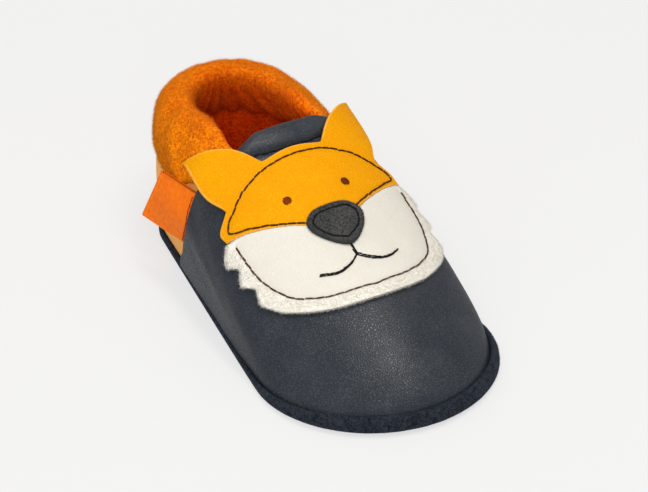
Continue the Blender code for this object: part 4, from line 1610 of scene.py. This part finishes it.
@dataclass
class Applique:
    """Flat leather piece sewn on the vamp, in plan.

    Attributes:
        name: Name of the piece.
        half: Half outline, rows of x, y and 1 at a corner.
        centre: Point that every line to the outline starts from.
        base: Height of its underside over the skin.
        top: Height of its upper face.
        puff: Extra height away from its seams.
        seams: Stitch lines that hold it down.
    """

    last: Last
    name: str
    half: Table
    centre: Pair
    base: float
    top: float
    puff: float
    seams: list[Array]
    steps: int = 16
    rings: int = 34
    edge_round: float = 0.00045
    corner_reach: float = 0.0022
    middle: float = -0.00105
    ear_base: tuple[Pair, Pair] | None = None
    ear_lift: float = 0.20
    held_width: float = 0.0006
    held_depth: float = 0.00022
    puff_width: float = 0.0035
    corner_least: float = 0.12
    ring_power: float = 0.85
    edge_rings: int = 6
    under_inset: float = 0.0001
    under_step: int = 3
    raw_fade: float = 0.0004

    def lift(self, plan: Array) -> Array:
        """Height by which the ears stand off, growing from the line on which they are sewn.

        Args:
            plan: Plan points, shape (..., 2).

        Returns:
            Heights, shape (...).
        """
        if self.ear_base is None:
            return np.zeros(plan.shape[:-1])
        inner, outer = (np.array(end) for end in self.ear_base)
        base = outer - inner
        away = np.array((-base[1], base[0])) / np.linalg.norm(base)
        x = np.abs(plan[..., 0])
        distance = (x - inner[0]) * away[0] + (plan[..., 1] - inner[1]) * away[1]
        return self.ear_lift * np.where(x > inner[0], np.maximum(distance, 0.0), 0.0)

    def relief(self, plan: Array) -> Array:
        """Height of the upper face: full between the seams, drawn down along them.

        Args:
            plan: Plan points, shape (..., 2).

        Returns:
            Heights, shape (...).
        """
        apart = np.min([path_distance(plan, seam) for seam in self.seams], axis=0)
        held, flat = (np.exp(-((apart / width) ** 2)) for width in (self.held_width, self.puff_width))
        return self.top + self.puff * (1.0 - flat) - self.held_depth * held

    def place(self, plan: Array, height: Array) -> Array:
        """Points over the skin at plan points, at heights that follow the ears."""
        station, row = self.last.on_skin(plan + (self.middle, 0.0))
        return self.last.lifted(station, row, height + self.lift(plan))

    def shape(self) -> tuple[Array, Array]:
        """Rings from the middle of the top, round the edge, to the middle underneath.

        Returns:
            Plan points, shape (rings, points, 2), and their heights.
        """
        outline = closed_outline(self.half, self.steps)
        outwards = outward_normals(outline)
        table = np.array(self.half)
        corners = outline[np.flatnonzero(np.concatenate([table[:, 2], table[::-1][1:-1, 2]])) * self.steps]
        if len(corners):
            nearest = np.min(np.linalg.norm(outline[:, None] - corners, axis=-1), axis=1)
            open_share = ease(0.0, self.corner_reach, nearest)[:, None]
            outwards = outwards * (self.corner_least + (1.0 - self.corner_least) * open_share)
        centre = np.array(self.centre)
        share = (np.arange(self.rings) / (self.rings - 1))[:, None, None] ** self.ring_power
        upper = centre + share * (outline - self.edge_round * outwards - centre)
        angles = np.radians(np.linspace(0.0, 90.0, self.edge_rings + 1)[1:])[:, None, None]
        turn = outline - self.edge_round * (1.0 - np.sin(angles)) * outwards
        under = centre + share[::-self.under_step] * (outline - self.under_inset * outwards - centre)
        plan = np.concatenate([upper, turn, under])
        face = self.relief(upper)
        turned = face[-1] - self.edge_round * (1.0 - np.cos(angles[..., 0]))
        height = np.concatenate([face, turned, np.full(under.shape[:2], self.base)])
        return plan, height

    def build(self, finish: Leather | Suede, slot: Slot, raw: Array | None = None,
              fuzz: tuple[Nap, Suede] | None = None) -> None:
        """Piece, with its cut edge and the fibres that stand on it.

        Args:
            finish: Finish of the leather.
            slot: Slot of the record, and the node that the piece stands for.
            raw: Path outside which the upper face is raw and fibrous.
            fuzz: Fibres and their finish.
        """
        plan, height = self.shape()
        points = self.place(plan, height)
        cut = np.zeros(plan.shape[:2])
        cut[self.rings:self.rings + self.edge_rings] = 1.0
        if raw is not None:
            cut = np.maximum(cut, self.outside(plan, raw))
        quads = grid_quads(*points.shape[:2], close_columns=True)
        mesh = make_mesh(self.name, points.reshape(-1, 3), quads, marks={"raw": cut})
        normals = point_normals(mesh).reshape(points.shape)
        add_piece(weld(mesh), finish.material(), (slot,))
        if fuzz is not None:
            keep = self.rings + self.edge_rings + 1
            grids = [closed(grid[:keep]) for grid in (points, normals, cut**2)]
            nap, suede = fuzz
            add_piece(nap.grow(f"{self.name}_nap", *grids), suede.material())

    def outside(self, plan: Array, path: Array) -> Array:
        """Whether plan points lie outside a seam, seen from the piece's centre: 0 within it, 1 beyond it.

        Args:
            plan: Plan points, shape (..., 2).
            path: Points of the seam, shape (m, 2).

        Returns:
            Shares, shape (...), 0 also where the seam doesn't pass.
        """
        apart, seam = plan - np.array(self.centre), path - np.array(self.centre)
        angles = np.arctan2(seam[:, 1], seam[:, 0])
        order = np.argsort(angles)
        here = np.arctan2(apart[..., 1], apart[..., 0])
        limit = np.interp(here, angles[order], np.linalg.norm(seam, axis=1)[order], left=np.inf, right=np.inf)
        return ease(0.0, self.raw_fade, np.linalg.norm(apart, axis=-1) - limit)


@dataclass
class FoxFace:
    """Face on the toe: a mask with free ears, a cream muzzle with a raw edge, and a dark padded nose.

    Attributes:
        skin_height: Height of the vamp's face over the skin.
        leather: Thickness of the face's leather.
        mouth_passes: Shift and pitch of each pass of the mouth's stitches.
    """

    last: Last
    skin_height: float = 0.00165
    leather: float = 0.00125
    face_centre: Pair = (0.0, -0.006)
    face_puff: float = 0.00030
    ear_base: tuple[Pair, Pair] = ((0.0085, 0.0125), (0.0212, 0.0070))
    muzzle_centre: Pair = (0.0, -0.022)
    muzzle_drop: float = 0.00005
    muzzle_puff: float = 0.00035
    muzzle_hair: Nap = Nap(count=15000, length=0.00075, thickness=0.000045, lean=0.9, seed=41)
    nose_centre: Pair = (0.0, -0.0115)
    nose_drop: float = 0.0001
    nose_puff: float = 0.00045
    nose_rings: int = 22
    nose_round: float = 0.0006
    nose_hair: Nap = Nap(count=3500, length=0.00042, thickness=0.000035, lean=0.8, seed=42)
    mask_pitch: float = 0.0024
    jaw_pitch: float = 0.0026
    nose_pitch: float = 0.0020
    face_half: Table = (
        (0.0000, -0.0145, 1),
        (0.0070, -0.0088, 0),
        (0.0150, -0.0042, 0),
        (0.0245, 0.0005, 1),
        (0.0244, 0.0040, 0),
        (0.0212, 0.0070, 1),
        (0.0222, 0.0140, 0),
        (0.0200, 0.0250, 1),
        (0.0135, 0.0190, 0),
        (0.0085, 0.0125, 1),
        (0.0000, 0.0132, 0),
    )
    muzzle_half: Table = (
        (0.0000, -0.0151, 1),
        (0.0073, -0.0093, 0),
        (0.0153, -0.0047, 0),
        (0.0248, 0.0000, 1),
        (0.0268, -0.0042, 1),
        (0.0250, -0.0072, 0),
        (0.0268, -0.0110, 1),
        (0.0246, -0.0145, 0),
        (0.0258, -0.0185, 1),
        (0.0215, -0.0250, 0),
        (0.0120, -0.0315, 0),
        (0.0000, -0.0338, 0),
    )
    nose_half: Table = (
        (0.0000, -0.0182, 0),
        (0.0048, -0.0150, 0),
        (0.0074, -0.0098, 0),
        (0.0050, -0.0064, 0),
        (0.0000, -0.0058, 0),
    )
    brow: Table = ((0.0206, 0.0052), (0.0155, 0.0086), (0.0085, 0.0106), (0.0, 0.0112))
    cheek: Table = ((0.0206, 0.0052), (0.0224, 0.0036), (0.0226, 0.0012), (0.0150, -0.0032),
                              (0.0072, -0.0077), (0.0, -0.0132))
    jaw: Table = ((0.0236, -0.0022), (0.0236, -0.0090), (0.0226, -0.0160), (0.0190, -0.0232),
                            (0.0110, -0.0286), (0.0, -0.0308))
    nostril: Table = ((0.0, -0.0166), (0.0038, -0.0141), (0.0058, -0.0099), (0.0040, -0.0076),
                                (0.0, -0.0072))
    smile: Table = ((0.0, -0.0212), (0.0028, -0.0232), (0.0070, -0.0240), (0.0112, -0.0222))
    lip: Table = ((0.0, -0.0176), (0.0, -0.0212))
    mouth_passes: Table = ((-0.00018, 0.0018), (0.00018, 0.0013))
    eye: Pair = (0.0082, -0.0002)
    eye_half: Pair = (0.00095, 0.00105)
    eye_rows: Span = (-0.86, 0.86, 8)
    eye_overhang: float = 0.0002
    eye_points: int = 12
    eye_lift: float = 0.0001
    eye_loose: float = 0.00002
    seam_steps: int = 8

    def build(self, finishes: "Finishes", brown: Stitches, black: Stitches, russet: Stitches) -> None:
        """All the pieces of the face and their seams.

        Args:
            finishes: Finishes of the shoe.
            brown: Stitches in brown thread.
            black: Stitches in black thread.
            russet: Stitches in russet thread.
        """
        brow, jaw, ring = (both_sides(open_path(rows)) for rows in (self.brow, self.jaw, self.nostril))
        cheek, smile, lip = (open_path(rows) for rows in (self.cheek, self.smile, self.lip))
        base = self.skin_height
        level = base + self.leather
        face = Applique(self.last, "face", self.face_half, self.face_centre, base, level, self.face_puff,
                        [brow, cheek, cheek * MIRROR], ear_base=self.ear_base)
        face.build(finishes.face, Slot.FACE)
        muzzle = Applique(self.last, "muzzle", self.muzzle_half, self.muzzle_centre, base,
                          level - self.muzzle_drop, self.muzzle_puff, [jaw, smile, smile * MIRROR, lip])
        muzzle.build(finishes.muzzle, Slot.MUZZLE, raw=jaw, fuzz=(self.muzzle_hair, finishes.muzzle_fuzz))
        nose = Applique(self.last, "nose", self.nose_half, self.nose_centre, level - self.nose_drop,
                        level + self.leather, self.nose_puff, [ring], rings=self.nose_rings,
                        edge_round=self.nose_round)
        nose.build(finishes.nose, Slot.NOSE, fuzz=(self.nose_hair, finishes.nose_fuzz))

        for path in (brow, cheek, cheek * MIRROR):
            self.seam(path, self.mask_pitch, face, brown)
        self.seam(jaw, self.jaw_pitch, muzzle, brown)
        for path in (lip, smile, smile * MIRROR):
            for shift, pitch in self.mouth_passes:
                self.seam(path + shift, pitch, muzzle, black)
        self.seam(ring, self.nose_pitch, nose, black)
        for side in (-1.0, 1.0):
            self.sew_eye(side, face, russet)

    def seam(self, path: Array, pitch: float, on: Applique, thread: Stitches) -> None:
        """Sew along a plan path on a piece's upper face.

        Args:
            path: Points of the path, shape (n, 2).
            pitch: Length of a stitch.
            on: Piece that carries the seam.
            thread: Its thread.
        """
        run = run_length(path)
        even = np.linspace(0.0, run[-1], self.seam_steps * len(path))
        points, normals = self.surface(evenly(path, run, even), on)
        thread.sew(points, normals, pitch)

    def surface(self, path: Array, on: Applique) -> tuple[Array, Array]:
        """Points on a piece's upper face at plan points, and the skin's normals there."""
        station, row = self.last.on_skin(path + (on.middle, 0.0))
        return on.place(path, on.relief(path)), self.last.facing(station, row)[0]

    def sew_eye(self, side: float, on: Applique, thread: Stitches) -> None:
        """Embroidered eye: close satin stitches across a small oval.

        Args:
            side: -1 or 1 for the side of the face.
            on: Piece that carries the eye.
            thread: Its thread.
        """
        half_x, half_y = self.eye_half
        for level in np.linspace(*self.eye_rows):
            reach = half_x * np.sqrt(1.0 - level**2) + self.eye_overhang
            x = side * self.eye[0] + np.linspace(-reach, reach, self.eye_points)
            path = np.stack([x, np.full_like(x, self.eye[1] + level * half_y)], axis=1)
            points, normals = self.surface(path, on)
            thread.sew(points + self.eye_lift * normals, normals, Stitches.WHOLE, self.eye_loose)


@dataclass
class Label:
    """Folded ribbon sewn into the seam behind the vamp, its fold to the rear and leaning out."""

    last: Last
    vamp: Vamp
    front_rows: Pair = (0.675, 0.325)
    front_height: float = 0.0008
    fold: Table = ((0.0350, 0.0318), (0.0414, 0.0156))
    front_y: float = 0.0240
    front_x: float = -0.0273
    sewn_height: float = 0.0220
    lean: float = -0.09
    tilt: float = 0.14
    depth: float = 0.0010
    ribbon: float = 0.00028
    flat: Pair = (0.0178, 0.0290)
    across_points: int = 40
    run_points: int = 30
    bend_points: int = 13
    bend_share: float = 0.93
    root_share: float = 0.55
    root_reach: float = 0.5
    belly: float = 0.0005
    stitch_lift: float = 0.00002
    stitch_pitch: float = 0.0019

    def front(self, across: Array) -> Array:
        """Front edge of the label on the wall, right behind the vamp's outer edge.

        Args:
            across: Shares of the way from its top to its bottom.

        Returns:
            Points of the edge.
        """
        level = self.front_rows[0] + across * (self.front_rows[1] - self.front_rows[0])
        station, row = self.vamp.spot(np.ones_like(level), level)
        return self.last.lifted(station, row, np.full_like(level, self.front_height))

    def build(self, ribbon: Ribbon, orange: Stitches) -> None:
        """Ribbon as a hairpin profile carried from its upper to its lower edge, and its stitches.

        Args:
            ribbon: Finish of the label.
            orange: Stitches in orange thread.
        """
        across = np.linspace(0.0, 1.0, self.across_points)
        run = np.linspace(0.0, self.bend_share, self.run_points)
        bend = np.radians(np.linspace(-90.0, 90.0, self.bend_points))
        outer_half, inner_half = self.depth / 2, self.depth / 2 - self.ribbon
        line, depth = [], []
        for half, flip in ((outer_half, 1), (inner_half, -1)):
            turn = self.bend_share + (1.0 - self.bend_share) * np.cos(bend) * half / outer_half
            share = np.concatenate([run, turn, run[::-1]])
            away = np.concatenate([np.full_like(run, -half), half * np.sin(bend), np.full_like(run, half)])
            line.append(share[::flip])
            depth.append(away[::flip])
        share, away = np.concatenate(line)[None], np.concatenate(depth)[None]
        y, z = (np.array(self.fold)[0] + across[:, None] * np.diff(np.array(self.fold), axis=0)[0]).T
        x = self.front_x + self.lean * (y - self.front_y) + self.tilt * (z - self.sewn_height) - outer_half
        fold = np.stack([x, y, z], axis=-1)[:, None]
        points = self.front(across)[:, None] * (1.0 - share[..., None]) + fold * share[..., None]
        wave = np.sin(np.pi * share) * np.sin(np.pi * across[:, None])
        opened = self.root_share + (1.0 - self.root_share) * ease(0.0, self.root_reach, share)
        points[..., 0] += away * opened - self.belly * wave
        shape = points.shape[:2]
        quads = grid_quads(*shape, close_columns=True)
        half = shape[1] // 2
        number = np.arange(shape[0] * shape[1]).reshape(shape)
        caps = []
        for end, turn in ((number[0], 1), (number[-1], -1)):
            out, back = end[:half], end[half:][::-1]
            caps.append(np.stack([out[:-1], out[1:], back[1:], back[:-1]], axis=1)[:, ::turn])
        uv = np.stack(np.broadcast_arrays(np.linspace(0.0, 2.0, shape[1])[None], across[:, None]), axis=-1)
        mesh = make_mesh("label", points.reshape(-1, 3), np.concatenate([quads, *caps]), uv=uv.reshape(-1, 2))
        piece = add_piece(mesh, ribbon.material(), (Slot.LABEL,))

        outwards = np.array((-1.0, 0.0, 0.0))
        path = points[2:-2, 1] + self.stitch_lift * outwards
        orange.sew(path, np.broadcast_to(outwards, path.shape), self.stitch_pitch)


@dataclass(frozen=True)
class Finishes:
    """Finish of each piece of the shoe."""

    # The tints of the cuff, its fibres and the lining paint the shade inside the shoe.
    cuff: Suede = Suede("orange_suede", (1.00, 0.330, 0.003), (0.52, 0.068, 0.001), scale=1150.0,
                        sheen=0.03, inside_shade=(0.90, 0.27, 0.50))
    cuff_fuzz: Suede = Suede("orange_nap", (1.00, 0.440, 0.010), (0.48, 0.056, 0.001), sheen=0.03,
                             fibres=True, inside_shade=(0.90, 0.27, 0.50))
    lining_fuzz: Suede = Suede("lining_nap", (1.00, 0.560, 0.020), (0.22, 0.022, 0.001), sheen=0.03,
                               fibres=True, inside_shade=(0.94, 0.27, 0.50))
    insole: Suede = Suede("insole_suede", (0.95, 0.085, 0.006), (0.70, 0.045, 0.003), bump=0.0003, sheen=0.03)
    outsole: Suede = Suede("navy_suede", (0.029, 0.035, 0.047), (0.006, 0.008, 0.012), sheen=0.08,
                           sheen_tint=(0.55, 0.65, 0.9))
    outsole_fuzz: Suede = Suede("navy_nap", (0.060, 0.070, 0.090), (0.008, 0.010, 0.015), sheen=0.08,
                                sheen_tint=(0.55, 0.65, 0.9), fibres=True)
    quarter: Leather = Leather("orange_leather", (0.97, 0.510, 0.150), (0.92, 0.420, 0.100), scale=1700.0)
    vamp: Leather = Leather("anthracite_leather", (0.042, 0.048, 0.057), (0.019, 0.024, 0.032), scale=1450.0,
                            bump=0.00005, shine=0.30, matt=0.50)
    face: Leather = Leather("amber_leather", (0.81, 0.356, 0.001), (0.74, 0.285, 0.001), bump=0.00010,
                            shine=0.06, raw=(0.90, 0.42, 0.05))
    muzzle: Leather = Leather("cream_leather", (0.70, 0.68, 0.61), (0.65, 0.62, 0.55), scale=1900.0,
                              bump=0.00006, shine=0.10, raw=(0.88, 0.85, 0.77))
    muzzle_fuzz: Suede = Suede("cream_fuzz", (0.95, 0.92, 0.85), (0.72, 0.69, 0.62), sheen=0.03,
                               sheen_tint=(1.0, 0.95, 0.9), fibres=True)
    nose: Suede = Suede("nose_suede", (0.078, 0.076, 0.073), (0.018, 0.019, 0.021), scale=1500.0, sheen=0.08,
                        sheen_tint=(0.7, 0.75, 0.85))
    nose_fuzz: Suede = Suede("nose_fuzz", (0.105, 0.102, 0.096), (0.020, 0.021, 0.024), sheen=0.08,
                             sheen_tint=(0.7, 0.75, 0.85), fibres=True)
    label: Ribbon = Ribbon("orange_ribbon", (0.95, 0.205, 0.006), (0.76, 0.130, 0.003))
    brown_thread: ThreadFinish = ThreadFinish("brown_thread", (0.145, 0.048, 0.012), (0.060, 0.020, 0.006))
    black_thread: ThreadFinish = ThreadFinish("black_thread", (0.020, 0.018, 0.018), (0.008, 0.008, 0.009))
    russet_thread: ThreadFinish = ThreadFinish("russet_thread", (0.300, 0.058, 0.005), (0.150, 0.022, 0.002))
    orange_thread: ThreadFinish = ThreadFinish("orange_thread", (0.78, 0.115, 0.010), (0.50, 0.050, 0.005))


@dataclass(frozen=True)
class Lamp:
    """Large flat lamp.

    Attributes:
        aim: Point that it faces.
        size: Its width and its length.
        power: Its power in watts.
        mirrored: Whether glossy surfaces show it.
    """

    name: str
    place: Row
    aim: Row
    size: Pair
    power: float
    mirrored: bool = False
    tint: Colour = (1.0, 1.0, 1.0)

    def build(self) -> None:
        """Hang the lamp in the scene."""
        lamp = bpy.data.lights.new(self.name, "AREA")
        lamp.shape = "RECTANGLE"
        lamp.size, lamp.size_y = self.size
        lamp.energy = self.power
        lamp.color = self.tint
        stand = bpy.data.objects.new(self.name, lamp)
        stand.location = self.place
        stand.visible_glossy = self.mirrored
        stand.rotation_mode = "QUATERNION"
        stand.rotation_quaternion = (Vector(self.aim) - Vector(self.place)).to_track_quat("-Z", "Y")
        bpy.context.scene.collection.objects.link(stand)


@dataclass(frozen=True)
class Studio:
    """Pale floor, soft lights and the camera at the photograph's angle, centred on the shoe.

    Attributes:
        azimuth: Camera's turn around the shoe, in degrees.
        elevation: Its height over the horizon, in degrees.
        distance: Its distance from the shoe's origin.
        scale: Image pixels for a metre at that distance.
        aim: Point that the camera looks at, to the right of the origin and above it in the image.
        sky: Strength of the light from all around.
        floor_glow: Light that the floor gives off itself.
        floor_greys: Its darkest and lightest grey.
    """

    azimuth: float = -30.79
    elevation: float = 33.92
    distance: float = 1.0
    scale: float = 2570.0 * 1.45
    aim: Pair = (0.0019, 0.0152)
    image_width: float = 648.0
    sensor: float = 36.0
    clip: Pair = (0.05, 20.0)
    sky: float = 0.36
    floor_size: float = 6.0
    floor_drop: float = 0.00005
    floor_clouds: float = 3.0
    floor_greys: Pair = (0.20, 0.205)
    floor_glow: float = 0.642
    lamps: tuple[Lamp, ...] = (
        Lamp("key", (-0.75, -0.15, 0.75), (0.0, 0.0, 0.02), (1.2, 1.0), 2.4),
        Lamp("front", (-0.47, -0.78, 0.66), (0.0, 0.02, 0.03), (0.5, 0.5), 5.6),
        Lamp("top", (0.0, -0.10, 1.00), (0.0, 0.0, 0.0), (0.8, 0.8), 2.1),
        Lamp("rear", (0.15, 0.95, 0.40), (0.0, 0.0, 0.02), (0.7, 0.7), 2.5),
        Lamp("strip", (0.12, -0.18, 0.97), (0.12, -0.03, 0.0), (0.16, 0.60), 3.6, True, (1.0, 0.95, 0.86)),
    )

    def axes(self) -> tuple[Vector, Vector, Vector]:
        """Directions to the camera, to the right and up in its image."""
        turn, tilt = np.radians(self.azimuth), np.radians(self.elevation)
        back = Vector((np.sin(turn) * np.cos(tilt), -np.cos(turn) * np.cos(tilt), np.sin(tilt)))
        right = Vector((np.cos(turn), np.sin(turn), 0.0))
        return back, right, back.cross(right)

    def build(self) -> None:
        """Floor, world, lights and camera."""
        self.make_floor()
        scene = bpy.context.scene
        scene.view_settings.view_transform = "Standard"
        world = bpy.data.worlds.new("studio")
        world.use_nodes = True
        sky = world.node_tree.nodes["Background"]
        Graph(world.node_tree).feed(sky, {"Color": WHITE, "Strength": self.sky})
        scene.world = world
        for lamp in self.lamps:
            lamp.build()
        self.make_camera()

    def make_floor(self) -> None:
        """Plain pale floor, just under the sole."""
        half = self.floor_size / 2
        corners = np.array(((-half, -half), (half, -half), (half, half), (-half, half)))
        points = np.concatenate([corners, np.full((4, 1), -self.floor_drop)], axis=1)
        floor = bpy.data.meshes.new("floor")
        floor.from_pydata(points.tolist(), [], [(0, 1, 2, 3)])
        material, graph, shader, place = start_material("pale_floor")
        dark, light = ((grey, grey, grey, 1.0) for grey in self.floor_greys)
        graph.feed(shader, {
            "Base Color": graph.blend(graph.noise(place, self.floor_clouds), dark, light),
            "Roughness": 0.9,
            "Specular IOR Level": 0.0,
            "Emission Color": WHITE,
            "Emission Strength": self.floor_glow,
        })
        floor.materials.append(material)
        stand = bpy.data.objects.new("floor", floor)
        stand.visible_glossy = False
        bpy.context.scene.collection.objects.link(stand)

    def make_camera(self) -> None:
        """Camera with the photograph's perspective, aimed so that the one shoe fills the image."""
        back, right, up = self.axes()
        eye = back * self.distance
        target = right * self.aim[0] + up * self.aim[1]
        lens = bpy.data.cameras.new("camera")
        lens.sensor_width = self.sensor
        lens.lens = self.sensor * self.scale * self.distance / self.image_width
        lens.clip_start, lens.clip_end = self.clip
        camera = bpy.data.objects.new("camera", lens)
        camera.location = eye
        camera.rotation_mode = "QUATERNION"
        camera.rotation_quaternion = (target - eye).to_track_quat("-Z", "Y")
        bpy.context.scene.collection.objects.link(camera)
        bpy.context.scene.camera = camera


def main() -> None:
    """Build the shoe's pieces in order, then the studio."""
    logging.basicConfig(level=logging.INFO, format="%(name)s: %(message)s")
    last, finishes = Last(), Finishes()
    brown = Stitches("brown_stitches", radius=0.00027)
    black = Stitches("black_stitches", radius=0.00024, seed=5)
    russet = Stitches("russet_stitches", radius=0.00017, seed=6)
    orange = Stitches("orange_stitches", radius=0.00018, seed=8)

    Outsole(last).build(finishes.outsole, finishes.outsole_fuzz)
    Insole(last).build(finishes.insole)
    upper = Upper(last)
    upper.build_quarter(finishes.quarter)
    upper.build_cuff(finishes.cuff, finishes.cuff_fuzz, finishes.lining_fuzz)
    vamp = Vamp(last)
    vamp.build(finishes.vamp, black)
    FoxFace(last).build(finishes, brown, black, russet)
    Label(last, vamp).build(finishes.label, orange)
    add_piece(brown.mesh(), finishes.brown_thread.material())
    add_piece(black.mesh(), finishes.black_thread.material())
    add_piece(russet.mesh(), finishes.russet_thread.material())
    add_piece(orange.mesh(), finishes.orange_thread.material())
    Studio().build()


if __name__ == "__main__":
    main()
